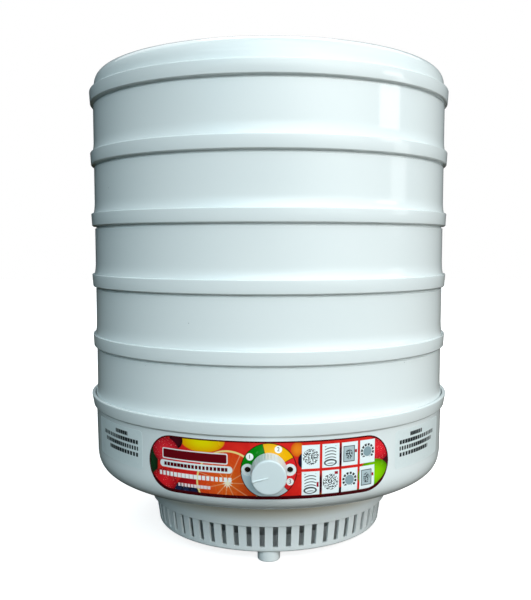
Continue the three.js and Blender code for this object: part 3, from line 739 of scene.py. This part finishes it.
def trayWall(lip):
    # One outline carried round: the rim, which drops inside the collar below, then the flared foot of the
    # wall, a groove and the tray's own collar.
    rise = np.linspace(0, tray["flare"], 8)
    flare = tray["wallR"] + (tray["rimR"] - tray["wallR"]) * (1 - rise / tray["flare"]) ** 2
    top = lip + tray["pitch"]
    bottom = lip - tray["drop"]
    innerR = tray["wallR"] - tray["wall"]
    footZ = top - tray["collarHeight"]
    return ring([
        (tray["rimR"], bottom, 0.7),
        *zip(flare, lip + rise),
        (tray["wallR"], footZ - tray["groove"]),
        (tray["wallR"] - tray["grooveDepth"], footZ - tray["groove"] + 0.5),
        (tray["wallR"] - tray["grooveDepth"], footZ - 0.4, 0.3),
        (tray["collarFootR"] - 1.0, footZ, 0.3),
        (tray["collarFootR"], footZ + 1.0, 0.5),
        (tray["collarTopR"], top, 1.1),
        (tray["collarInnerR"], top, 0.6),
        (tray["collarInnerR"], top - tray["seat"], 0.4),
        (innerR, top - tray["seat"], 0.5),
        (innerR, bottom + tray["floor"], 1.5),
        (tray["sieveR"], bottom + tray["floor"]),
        (tray["sieveR"], bottom, 0.4),
    ], 180)


def sieveRing(fromR, toR, rings, openings, rib, low, high):
    # Rings and spokes: every second row and every second column of cells is rib, and the rest is open.
    pitch = (toR - fromR - rib) / rings
    radii = np.append((fromR + pitch * np.arange(rings)[:, None] + [0, rib]).ravel(), [toR - rib, toR])
    spoke = rib / (fromR + toR) * 2
    angles = (fullTurn(openings)[:, None] + [0, spoke]).ravel()
    solid = np.zeros((len(radii) - 1, len(angles)), bool)
    solid[::2] = True
    solid[:, ::2] = True
    flat = np.stack([radii, np.zeros(len(radii))], axis=1)
    return shell(turned(flat + [0, high], angles), turned(flat + [0, low], angles), solid)


def hub(radius, low, high):  # a solid disc
    return ring([(0, low), (radius, low, 0.3), (radius, high, 0.3), (0, high)], 48)


for level in range(1, tray["count"] + 1):
    node = f"tray_{level}"
    lip = nodeBox(node)[1][2] - tray["pitch"]
    low = lip - tray["drop"]
    high = low + tray["floor"]
    floors = [sieveRing(*zone, sieve["rib"], low + 0.1, high - 0.1) for zone in sieve["zones"]]
    shape = joined(trayWall(lip), hub(sieve["hubR"], low + 0.15, high - 0.15), *floors)
    makePiece(node + "_moulding", shape, node, whitePlastic, [node])

print("lid")
lid = {
    "shoulderR": 185.3,
    "shoulderZ": 469.6,
    "width": 60.7,
    "rise": 24.8,
    "wall": 2.0,
    "crownR": 92.0,
    "dishR": 74.0,
    "dishDepth": 5.0,
    "buttonR": 24.0,
    "slots": 18,
    "slotFrom": 30.0,
    "slotMiddle": 50.0,
    "slotTo": 68.0,
    "slotWidth": 4.5,
    "columns": 8,
}  # columns is how many strips of mesh a slot and the web beside it take, two of them for the slot


def lidShell():
    # The outline from the rim over the shoulder to the dish is carried round. The first point only closes it.
    top = nodeBox("lid")[1][2]
    lip = nodeBox("tray_5")[1][2]
    dish = top - lid["dishDepth"]
    centreR = lid["shoulderR"] - lid["width"]
    shoulder = softCorner(centreR, lid["shoulderZ"], lid["width"], lid["rise"], centreR + 0.1, steps=30)
    outline = roundedPath([
        (0, nodeBox("lid")[0][2] - 5),
        (tray["rimR"], nodeBox("lid")[0][2]),
        (tray["rimR"], lip, 1.2),
        *shoulder,
        (lid["crownR"], top, 12),
        (80, top - 0.4, 3),
        (lid["dishR"], dish, 3),
        (lid["slotTo"], dish),
        (lid["slotMiddle"], dish),
        (lid["slotFrom"], dish),
        (lid["buttonR"], dish, 2.2),
        (19, top - 0.7, 4),
        (8, top),
        (0, top),
    ], 7)[1:]
    slot = lid["slotWidth"] / lid["slotMiddle"]
    pitch = 2 * pi / lid["slots"]
    web = np.linspace(slot, pitch, lid["columns"] - 1)
    share = np.concatenate([np.linspace(0, slot, 3)[:-1], web[:-1]])
    angles = (fullTurn(lid["slots"])[:, None] + share).ravel()
    inner = offsetPath(outline, lid["wall"])
    inner[:, 0] = np.maximum(inner[:, 0], 0)
    inner[-1, 0] = 0
    middle = (outline[1:] + outline[:-1]) / 2
    onDish = (middle[:, 0] > lid["slotFrom"]) & (middle[:, 0] < lid["slotTo"])
    opening = onDish[:, None] & (np.arange(len(angles)) % lid["columns"] < 2)
    return shell(turned(outline, angles), turned(inner, angles), ~opening)


makePiece("lid_moulding", lidShell(), "lid", whitePlastic, ["lid"])

print("base")
base = {
    "lipTopR": 192.5,
    "lipFootR": 190.5,
    "lipHeight": 12.0,
    "step": 2.0,
    "wallTopR": 187.7,
    "wallBottomR": 187.0,
    "wallBottomZ": 102.2,
    "cornerWidth": 57.0,
    "cornerDrop": 34.2,
    "cornerStopR": 139,
    "neckTopR": 131.0,
    "neckBottomR": 129.3,
    "neckBottomZ": 39.8,
    "wall": 2.4,
    "ledgeR": 178.0,
    "ledgeZ": 135.4,
    "socketR": 188.6,
}
control = {"z": 113.2, "screwX": 18.8, "recessR": 2.7, "spindleR": 4.5, "cutoutR": 5.5, "frontY": -215}
gland = {"boreR": 3.4, "neckR": 5.8, "lipR": 6.4, "flangeR": 8.5, "flangeY": 188.2, "holeR": 6.3}
foot = {"boreR": 5.2, "outerR": 11.2, "height": 11.3}
post = {"boreR": 2.4, "outerR": 7.5, "fromZ": 39.8, "toZ": 66}
wallRadiusAt = {"z": [70.0, 102.2, 142.0], "r": [187.0, 187.0, 187.7]}


def baseShell():
    # One outline carried round: down the outside from the collar to the neck, and back up the inside.
    top = nodeBox("base_housing")[1][2]
    seat = top - tray["seat"]
    centreR = base["wallBottomR"] - base["cornerWidth"]
    innerR = base["wallBottomR"] - base["wall"]
    startZ, stopR = base["wallBottomZ"], base["cornerStopR"]
    corner = softCorner(centreR, startZ, base["cornerWidth"], -base["cornerDrop"], stopR, 34)
    width = base["cornerWidth"] - base["wall"]
    drop = base["wall"] - base["cornerDrop"]
    within = softCorner(centreR, startZ, width, drop, stopR, 24)[::-1]
    underZ = corner[-1][1] - 0.3
    return ring([
        (base["lipTopR"], top, 1.3),
        (base["lipFootR"], top - base["lipHeight"], 1.0),
        (base["wallTopR"], top - base["lipHeight"] - base["step"], 0.4),
        *corner,
        (base["neckTopR"], underZ, 6),
        (base["neckBottomR"], base["neckBottomZ"], 0.6),
        (base["neckBottomR"] - base["wall"], base["neckBottomZ"], 0.4),
        (base["neckTopR"] - base["wall"], underZ + base["wall"], 4),
        *within,
        (innerR, base["ledgeZ"] - 4.4),
        (base["ledgeR"], base["ledgeZ"] - 2.4, 0.4),
        (base["ledgeR"], base["ledgeZ"], 0.4),
        (innerR, base["ledgeZ"]),
        (innerR, seat, 0.4),
        (base["socketR"], seat, 0.4),
        (base["socketR"] + 0.3, top, 0.8),
    ], 240)


def standing(shape, x, y):  # the shape moved to its place on the floor
    points, faces = shape
    return points + np.array([x, y, 0]), faces


footPlaces = {}
for side in ("front", "right", "rear", "left"):
    low, high = nodeBox("foot_" + side)
    footPlaces[side] = ((low + high) / 2)[:2]

postShape = ring([
    (post["boreR"], post["fromZ"]),
    (post["outerR"], post["fromZ"], 0.4),
    (post["outerR"], post["toZ"]),
    (post["boreR"], post["toZ"]),
], 32)


def controlHoles(screwR, spindleR):  # one at each screw beside the knob, and a deeper one for the spindle
    screws = [(side * control["screwX"], control["z"], screwR, control["frontY"], -182) for side in (-1, 1)]
    return [*screws, (0, control["z"], spindleR, control["frontY"], -180)]


shape = joined(baseShell(), *[standing(postShape, *place) for place in footPlaces.values()])
housing = makePiece("base_moulding", shape, "base", housingPlastic, ["base_housing"])
glandZ = nodeBox("cord_gland")[0][2] + gland["flangeR"]
cutHoles(housing, [
    *controlHoles(control["recessR"], control["spindleR"]),
    (0, glandZ, gland["holeR"], 180, 215),
])

print("intake cover and feet")
cover = {
    "floorZ": 11.5,
    "bottomR": 121.6,
    "topR": 125.5,
    "topZ": 39.5,
    "wall": 2.2,
    "slots": 60,
    "slotWidth": 5.3,
    "slotZ": 16.8,
    "bead": 0.9,
    "beads": (60, 84),
}


def coverShell():
    # The outline from the middle of the floor out and up the slotted wall is carried round. The first point
    # only closes it.
    raised = cover["floorZ"] + cover["bead"]
    beads = [
        point for r in cover["beads"]
        for point in ((r - 2, cover["floorZ"]), (r, raised), (r + 2, cover["floorZ"]))
    ]
    outline = roundedPath([
        (0, 60),
        (0, cover["floorZ"]),
        (30, cover["floorZ"]),
        *beads,
        (cover["bottomR"], cover["floorZ"], 3.2),
        (cover["bottomR"] + 0.7, cover["slotZ"]),
        (cover["topR"] - 1.4, 29),
        (cover["topR"], cover["topZ"]),
    ], 7)[1:]
    slot = cover["slotWidth"] / cover["topR"]
    pitch = 2 * pi / cover["slots"]
    share = np.array([0, slot / 2, slot, (slot + pitch) / 2])
    angles = (fullTurn(cover["slots"])[:, None] + share - slot / 2 + pitch / 2).ravel()
    inner = offsetPath(outline, cover["wall"])
    inner[:, 0] = np.maximum(inner[:, 0], 0)
    middle = (outline[1:, 1] + outline[:-1, 1]) / 2
    opening = (middle > cover["slotZ"])[:, None] & (np.arange(len(angles)) % len(share) < 2)
    return shell(turned(outline, angles), turned(inner, angles), ~opening)


makePiece("intake_cover_moulding", coverShell(), "base", whitePlastic, ["intake_cover"])
footShape = ring([
    (foot["boreR"], 0, 0.4),
    (foot["outerR"], 0, 1.6),
    (foot["outerR"] + 0.1, foot["height"], 0.2),
    (foot["boreR"], foot["height"], 0.2),
], 56, 6)
for side, place in footPlaces.items():
    shape = standing(footShape, *place)
    makePiece(f"foot_{side}_moulding", shape, "base", whitePlastic, ["foot_" + side])

print("label and stickers")


def film(halfS, halfT, middle, centreDeg, rounding):
    # A thin film on the wall: t runs to the outline's own height at each s, so the ends are round. Below the
    # wall's foot its radius follows the base's rounded corner.
    s = halfS * np.sin(np.linspace(-pi / 2, pi / 2, 220))
    past = np.maximum(np.abs(s) - (halfS - rounding), 0) / rounding
    tall = halfT - rounding + rounding * np.sqrt(np.maximum(1 - past ** 2, 0))
    t = np.linspace(-1, 1, 24)[:, None] * tall[None, :]
    z = middle + t
    r = np.interp(z, wallRadiusAt["z"], wallRadiusAt["r"])
    low = z < base["wallBottomZ"]
    drop = np.where(low, (base["wallBottomZ"] - z) / base["cornerDrop"], 0)
    bend = (1 - np.clip(drop, 0, 1) ** (2 / squareness)) ** (squareness / 2)
    r = np.where(low, base["wallBottomR"] - base["cornerWidth"] * (1 - bend), r)
    angle = s / label["wallR"] + radians(centreDeg - 90)

    def at(lift):
        return np.stack([(r + lift) * np.cos(angle), (r + lift) * np.sin(angle), z], axis=-1)

    return thinSheet(at(label["gap"] + label["film"]), at(label["gap"]))


front = film(label["halfLength"], label["halfHeight"], label["middle"], 0, label["halfHeight"])
labelPiece = makePiece("front_label_film", front, "base", labelPrint, ["front_label"])
cutHoles(labelPiece, controlHoles(control["cutoutR"], control["spindleR"] + 1))
stickerSize = [sticker[key] for key in ("halfLength", "halfHeight", "middle")]
for side, sign in (("left", -1), ("right", 1)):
    shape = film(*stickerSize, sign * sticker["centreDeg"], sticker["rounding"])
    node = "info_sticker_" + side
    makePiece(node + "_film", shape, "base", stickerFilm, [node])

print("knob")
knob = {
    "backY": -188.9,
    "height": 22.0,
    "skirtR": 16.0,
    "faceR": 15.2,
    "flutes": 36,
    "flute": 0.5,
    "pointerDeg": 195,
    "pointerTo": 15.6,
    "ridge": 0.7,
    "dome": 0.25,
}


def knobShape():
    # A turned outline with its front face domed by a parabola. The skirt is fluted by a power of a cosine,
    # and a tapering ridge on the face is the pointer.
    rim = knob["height"]
    outline = roundedPath([
        (0, 0),
        (3.2, 0),
        (8, 0),
        (knob["skirtR"], 0, 0.5),
        (knob["skirtR"] - 0.05, 6),
        (knob["skirtR"] - 0.15, 12),
        (knob["faceR"] + 0.35, rim - 4.5, 0.5),
        (knob["faceR"], rim, 2.4),
        *[(r, rim + knob["dome"] * (1 - (r / knob["faceR"]) ** 2)) for r in np.linspace(12.4, 0.6, 16)],
        (0, rim + knob["dome"]),
    ], 8)
    angles = fullTurn(288)
    grid = turned(outline, angles)
    depth = grid[..., 2]
    onSkirt = np.clip((outline[:, 1] - 0.4) / 0.8, 0, 1) * np.clip((rim - 4.2 - outline[:, 1]) / 1.2, 0, 1)
    onSkirt = onSkirt * (outline[:, 0] > knob["faceR"] - 0.5)
    wave = np.abs(np.cos(angles * knob["flutes"] / 2)) ** 1.5
    shrink = 1 - onSkirt[:, None] * knob["flute"] * (1 - wave[None]) / knob["skirtR"]
    grid[..., :2] *= shrink[..., None]
    along = radians(knob["pointerDeg"])
    u = grid[..., 0] * cos(along) + grid[..., 1] * sin(along)
    v = grid[..., 1] * cos(along) - grid[..., 0] * sin(along)
    half = 0.25 + 0.055 * np.clip(u, 0, 16)
    ridge = np.clip(1.6 - np.abs(v) / half * 1.6, 0, 1)
    ridge *= np.clip(u * 2, 0, 1) * np.clip((knob["pointerTo"] - u) * 2, 0, 1)
    grid[..., 2] = depth + knob["ridge"] * ridge * (depth > rim - 2.6)
    points = np.stack([grid[..., 0], knob["backY"] - grid[..., 2], control["z"] + grid[..., 1]], axis=-1)
    return points.reshape(-1, 3), gridFaces(*grid.shape[:2], closeRows=False)


makePiece("knob_moulding", knobShape(), "knob", knobPlastic, ["knob"], 50)

print("dial numerals")
numeral = {"size": 5.2, "halfThick": 0.04, "lift": 0.12}


def numeralMesh(digit):  # the flat digit about its own middle
    letter = bpy.data.curves.new("numeral_" + digit, "FONT")
    letter.body = digit
    letter.size = numeral["size"] * mm
    letter.align_x = "CENTER"
    letter.align_y = "CENTER"
    letter.extrude = numeral["halfThick"] * mm
    holder = bpy.data.objects.new("numeral_source", letter)
    bpy.context.scene.collection.objects.link(holder)
    bpy.context.view_layer.update()
    mesh = bpy.data.meshes.new_from_object(holder.evaluated_get(bpy.context.evaluated_depsgraph_get()))
    bpy.data.objects.remove(holder)
    return mesh


def addNumeral(digit, s, t):
    # The digit bent round the wall just over the label: its width becomes an angle and its depth a radius.
    mesh = numeralMesh(digit)
    flat = np.zeros(len(mesh.vertices) * 3, np.float32)
    mesh.vertices.foreach_get("co", flat)
    flat = flat.reshape(-1, 3) / mm
    angle = (flat[:, 0] + s) / label["wallR"] - pi / 2
    z = flat[:, 1] + t + label["middle"]
    r = np.interp(z, wallRadiusAt["z"], wallRadiusAt["r"]) + label["film"] + numeral["lift"] + flat[:, 2]
    placed = np.stack([r * np.cos(angle), r * np.sin(angle), z], axis=1) * mm + np.array([0, axisY, 0])
    mesh.vertices.foreach_set("co", placed.astype(np.float32).ravel())
    mesh.update()
    mesh.materials.clear()
    mesh.materials.append(darkPlastic)
    piece = bpy.data.objects.new("numeral_" + digit, mesh)
    bpy.context.scene.collection.objects.link(piece)
    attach(piece, "base")


for disc in dialDiscs:
    addNumeral(*disc)

print("deck and grille")
deck = {"holeR": 77.0, "rim": 2.2, "thick": 2.2, "bead": 1.2, "beads": (104, 128, 152)}
grille = {
    "skirtR": 81.8,
    "wall": 2.0,
    "plate": 2.4,
    "hubR": 11,
    "fromR": 10,
    "toR": 76,
    "rings": 9,
    "spokes": 36,
    "rib": 2.0,
}


def deckShape():
    # A flat ring with three raised beads and an upright rim round its hole.
    low, high = nodeBox("deck_plate")
    plate = low[2] + deck["thick"]
    raised = plate + deck["bead"]
    outer = high[0]
    beads = [
        point for r in deck["beads"][::-1]
        for point in ((r + 3, plate, 1), (r + 1, raised, 1), (r - 1, raised, 1), (r - 3, plate, 1))
    ]
    return ring([
        (deck["holeR"], low[2], 0.4),
        (outer, low[2], 0.4),
        (outer, plate, 0.4),
        *beads,
        (deck["holeR"] + deck["rim"], plate, 0.6),
        (deck["holeR"] + deck["rim"], high[2], 0.6),
        (deck["holeR"], high[2], 0.6),
    ])


def grilleShape():
    # A skirt that drops over the duct, a hub, and rings and spokes between them.
    low, high = nodeBox("outlet_grille")
    inner = grille["skirtR"] - grille["wall"]
    under = high[2] - grille["plate"]
    skirt = ring([
        (grille["toR"] - 0.5, under),
        (inner, under, 0.4),
        (inner, low[2], 0.3),
        (grille["skirtR"], low[2], 0.3),
        (grille["skirtR"], high[2], 1.4),
        (grille["toR"] - 0.5, high[2]),
    ])
    openings = [grille[key] for key in ("fromR", "toR", "rings", "spokes", "rib")]
    bars = sieveRing(*openings, under + 0.1, high[2] - 0.1)
    return joined(skirt, hub(grille["hubR"], under, high[2]), bars)


makePiece("deck_plate_moulding", deckShape(), "base", whitePlastic, ["deck_plate"])
makePiece("outlet_grille_moulding", grilleShape(), "base", whitePlastic, ["outlet_grille"])

print("fan and heater")
fan = {
    "boreR": 2.4,
    "hubR": 13.0,
    "tipR": 71.5,
    "blades": 6,
    "rootPitch": 40,
    "tipPitch": 24,
    "rootChord": 24,
    "tipChord": 42,
    "bow": 0.08,
    "drop": 2.2,
    "thick": 1.6,
}
coil = {"turns": 64, "pointsInTurn": 14, "helixR": 3.2, "wireR": 0.45, "clear": 0.4}


def bladeShape(turn):
    # Chord and pitch change steadily from root to tip, and the section is a parabola's arc.
    low, high = nodeBox("fan_impeller")
    share = np.linspace(0, 1, 14)[:, None]
    across = np.linspace(-0.5, 0.5, 12)[None, :]
    r = fan["hubR"] - 1 + (fan["tipR"] - fan["hubR"] + 1) * share
    pitch = np.radians(fan["rootPitch"] + (fan["tipPitch"] - fan["rootPitch"]) * share)
    chord = fan["rootChord"] + (fan["tipChord"] - fan["rootChord"]) * share
    bow = fan["bow"] * chord * (1 - 4 * across ** 2)
    swing = (chord * across * np.cos(pitch) - bow * np.sin(pitch)) / r + turn
    z = (low[2] + high[2]) / 2 - fan["drop"] + chord * across * np.sin(pitch) + bow * np.cos(pitch)
    grid = np.stack([r * np.cos(swing), r * np.sin(swing), z], axis=-1)
    half = [0, 0, fan["thick"] / 2]
    return thinSheet(grid + half, grid - half)


def fanShape():
    low, high = nodeBox("fan_impeller")
    body = ring([
        (fan["boreR"], low[2], 0.3),
        (fan["hubR"], low[2], 0.8),
        (fan["hubR"], high[2] - 5.5, 3),
        (fan["boreR"], high[2] - 4, 0.6),
    ], 64)
    return joined(body, *[bladeShape(angle) for angle in fullTurn(fan["blades"])])


def coilShape(node):
    # A wire wound round a ring: the centre line is the ring plus a small circle that turns many times.
    low, high = nodeBox(node)
    ringR = high[0] - coil["helixR"] - coil["clear"]
    angle = fullTurn(coil["turns"] * coil["pointsInTurn"])
    spin = angle * coil["turns"]
    outward = np.stack([np.cos(angle), np.sin(angle), 0 * angle], axis=1)
    up = np.array([0, 0, 1.0])
    normal = outward * np.cos(spin)[:, None] + up * np.sin(spin)[:, None]
    centre = outward * ringR + normal * coil["helixR"] + [0, 0, (low[2] + high[2]) / 2]
    along = np.roll(centre, -1, axis=0) - np.roll(centre, 1, axis=0)
    along /= np.linalg.norm(along, axis=1)[:, None]
    side = np.cross(along, normal)
    around = fullTurn(7)[None, :, None]
    section = normal[:, None] * np.cos(around) + side[:, None] * np.sin(around)
    tube = centre[:, None] + coil["wireR"] * section
    return tube.reshape(-1, 3), gridFaces(*tube.shape[:2])


makePiece("fan_impeller_moulding", fanShape(), "fan", fanPlastic, ["fan_impeller"])
for size in ("outer", "inner"):
    node = "heating_coil_" + size
    makePiece(node + "_wire", coilShape(node), "base", heaterWire, [node], 60)

print("screws")
screw = {"headHeight": 2.2, "edge": 0.45, "armHalf": 0.13, "armReach": 0.58, "recess": 0.45}
# edge is the head's height at its rim and recess the depth of the cross, both as shares of the head's height.


def screwShape(headR, headHeight, shankR, shankLength, at, direction):
    # A turned screw with a head domed by a cube and a cross pressed into it. The direction points out of it.
    edgeZ = -headHeight * screw["edge"]
    tipZ = -headHeight - shankLength
    outline = roundedPath([
        (0, tipZ),
        (shankR * 0.7, tipZ),
        (shankR, tipZ + 1),
        (shankR, -headHeight),
        (headR, -headHeight, 0.2),
        (headR, edgeZ, 0.4),
        *[(headR * s, edgeZ * s ** 3) for s in np.linspace(0.9, 0.08, 14)],
        (0, 0),
    ])
    grid = turned(outline, fullTurn(64))
    x, y = np.abs(grid[..., 0]), np.abs(grid[..., 1])
    arm = np.minimum(x, y) < headR * screw["armHalf"]
    within = np.maximum(x, y) < headR * screw["armReach"]
    head = grid[..., 2] > edgeZ - 0.01
    grid[..., 2] -= arm * within * head * headHeight * screw["recess"]
    return aimed(grid.reshape(-1, 3), at, direction), gridFaces(*grid.shape[:2], closeRows=False)


def addScrew(node, axis, side, metal=zincSteel):
    # Axis 1 is Y and 2 is Z, and side is +1 where the head is at the high end.
    low, high = nodeBox(node)
    middle = (low + high) / 2
    at = middle.copy()
    at[axis] = high[axis] if side > 0 else low[axis]
    across = [k for k in (0, 1, 2) if k != axis]
    headR = (high - low)[across].max() / 2 * 0.98
    direction = np.zeros(3)
    direction[axis] = side
    headHeight = min(screw["headHeight"], 0.75 * headR)
    shankLength = high[axis] - low[axis] - headHeight - 0.2
    shape = screwShape(headR, headHeight, headR * 0.5, shankLength, at, direction)
    makePiece(node + "_detail", shape, "base", metal, [node])


for node in frame["nodes"]:
    if node.startswith(("deck_screw", "shroud_screw")):
        addScrew(node, 2, 1)
    elif node.startswith(("cover_screw", "strap_screw", "motor_bolt")):
        addScrew(node, 2, -1)
    elif node.startswith("regulator_screw"):
        # Painted shade: these screws take the dark metal that stands in for the dark reflections in their
        # recesses.
        addScrew(node, 1, -1, recessShadedZinc)

print("cord gland")


def glandShape():
    # A flanged bush turned about Y.
    low, high = nodeBox("cord_gland")
    points, faces = ring([
        (gland["boreR"], low[1], 0.4),
        (gland["neckR"], low[1], 0.6),
        (gland["neckR"], gland["flangeY"], 0.2),
        (gland["flangeR"], gland["flangeY"], 0.3),
        (gland["flangeR"], high[1] - 0.6, 0.8),
        (gland["lipR"], high[1], 0.6),
        (gland["boreR"], high[1], 0.6),
    ], 64)
    middleZ = (low[2] + high[2]) / 2
    return np.stack([points[:, 0], points[:, 2], points[:, 1] + middleZ], axis=1), faces


makePiece("cord_gland_bush", glandShape(), "base", darkPlastic, ["cord_gland"])

print("studio")
studio = {
    "cameraY": -856.6,
    "cameraZ": 311.0,
    "tiltDeg": 4.794,
    "lens": 46.52,
    "shiftX": -0.0055,
    "shiftY": 1 / 60,
}


def addCamera():
    camera = bpy.data.objects.new("camera", bpy.data.cameras.new("camera"))
    camera.data.lens = studio["lens"]
    camera.data.shift_x = studio["shiftX"]
    camera.data.shift_y = studio["shiftY"]
    camera.location = (0, studio["cameraY"] * mm + axisY, studio["cameraZ"] * mm)
    camera.rotation_euler = (radians(90 - studio["tiltDeg"]), 0, 0)
    bpy.context.scene.collection.objects.link(camera)
    bpy.context.scene.camera = camera


lampDistance = 2.6
lampAim = Vector((0, axisY, 0.43))
lamps = {  # each has its azimuth and elevation in degrees, its width and height in metres, and its radiance
    "window": (77, 9.9, 0.72, 0.17, 3.8),
    "windowBelow": (85, 3.2, 0.6, 0.4, 1.6),
    "tubeLeft": (-27, 28, 1.3, 0.07, 7),
    "tubeRight": (19, 28, 1.1, 0.05, 7),
    "rearLeft": (-160, 50, 2.4, 1.6, 1.1),
    "rearRight": (160, 50, 2.4, 1.6, 1.1),
}


def addLamp(name, azimuth, elevation, width, height, radiance):
    # A rectangle of light that faces the lamps' aim. Azimuth runs from the front towards the right.
    light = bpy.data.lights.new(name, "AREA")
    light.shape = "RECTANGLE"
    light.size = width
    light.size_y = height
    light.energy = radiance * width * height * pi
    turn, rise = radians(azimuth), radians(elevation)
    out = Vector((sin(turn) * cos(rise), -cos(turn) * cos(rise), sin(rise)))
    lamp = bpy.data.objects.new(name, light)
    lamp.location = out * lampDistance + lampAim
    lamp.rotation_euler = (-out).to_track_quat("-Z", "Y").to_euler()
    bpy.context.scene.collection.objects.link(lamp)


def addFloor():
    # Pale for the camera, and dull and warm for the light that bounces up under the base.
    size = 6.0
    corners = [(-size, -size, 0), (size, -size, 0), (size, size, 0), (-size, size, 0)]
    mesh = bpy.data.meshes.new("floor")
    mesh.from_pydata(corners, [], [(0, 1, 2, 3)])
    floor = bpy.data.objects.new("floor", mesh)
    bpy.context.scene.collection.objects.link(floor)
    material = bpy.data.materials.new("floorPaint")
    material.use_nodes = True
    tree = material.node_tree
    tree.nodes.clear()
    seen = Wire(tree, tree.nodes.new("ShaderNodeLightPath").outputs["Is Camera Ray"])
    dull = seen.node("ShaderNodeBsdfDiffuse", {}, {"Color": colour("2e2818")})
    pale = seen.node("ShaderNodeBsdfDiffuse", {}, {"Color": colour("d8d8d8")})
    glow = seen.node("ShaderNodeEmission", {}, {"Color": colour("ffffff"), "Strength": 0.8})
    bright = seen.node("ShaderNodeAddShader", {}, {0: pale, 1: glow})
    both = seen.node("ShaderNodeMixShader", {}, {0: seen, 1: dull, 2: bright})
    seen.node("ShaderNodeOutputMaterial", {}, {0: both})
    mesh.materials.append(material)


room = {
    "strength": 4.35,
    "sky": [  # azimuth in degrees from the front towards the right, and the colour of the light from there
        (-180, "14181a"),
        (-75, "161b1e"),
        (-55, "33474f"),
        (-30, "7b9daa"),
        (0, "dce8ea"),
        (30, "f4f5f3"),
        (60, "bcbdbc"),
        (90, "7c8a8e"),
        (130, "1d2427"),
    ],
    "leftHeight": [  # rise as the sine of the elevation, and the share of the light from there
        (-0.6, 0.01),
        (0.0, 0.02),
        (0.14, 0.08),
        (0.24, 0.85),
        (0.36, 1.2),
        (0.55, 1.0),
        (0.9, 0.5),
    ],
    "rightHeight": [
        (-0.6, 0.05),
        (-0.05, 0.2),
        (0.1, 0.6),
        (0.22, 1.05),
        (0.36, 1.0),
        (0.55, 0.75),
        (0.9, 0.35),
    ],
    "change": (0, 50),  # the azimuths between which the left profile turns into the right one
}


def addWorld():
    # The room's colour by azimuth times its strength by rise, and plain white for the camera.
    world = bpy.data.worlds.new("studio")
    world.use_nodes = True
    tree = world.node_tree
    tree.nodes.clear()
    seen = Wire(tree, tree.nodes.new("ShaderNodeLightPath").outputs["Is Camera Ray"])
    x, y, z = Wire(tree, tree.nodes.new("ShaderNodeTexCoord").outputs["Generated"]).axes()
    turn = x.math("ARCTAN2", x, -y) / (2 * pi) + 0.5
    stops = [(azimuth / 360 + 0.5, colour(code)) for azimuth, code in room["sky"]]
    sky = turn.node("ShaderNodeValToRGB", {"stops": stops}, {0: turn})
    profiles = []
    for side in ("leftHeight", "rightHeight"):
        stops = [(rise / 2 + 0.5, (share, share, share, 1)) for rise, share in room[side]]
        profiles.append(z.node("ShaderNodeValToRGB", {"stops": stops}, {0: z * 0.5 + 0.5}))
    first, last = room["change"]
    towardsRight = ((turn * 360 - 180 - first) / (last - first)).above(0.0).below(1.0)
    strength = mixed(towardsRight, *profiles) * room["strength"]
    ambient = seen.node("ShaderNodeBackground", {}, {"Color": sky, "Strength": strength})
    backdrop = seen.node("ShaderNodeBackground", {}, {"Color": colour("ffffff"), "Strength": 1.0})
    both = seen.node("ShaderNodeMixShader", {}, {0: seen, 1: ambient, 2: backdrop})
    seen.node("ShaderNodeOutputWorld", {}, {0: both})
    bpy.context.scene.world = world


addCamera()
addFloor()
addWorld()
for name, values in lamps.items():
    addLamp(name, *values)
bpy.context.scene.view_settings.view_transform = "Standard"
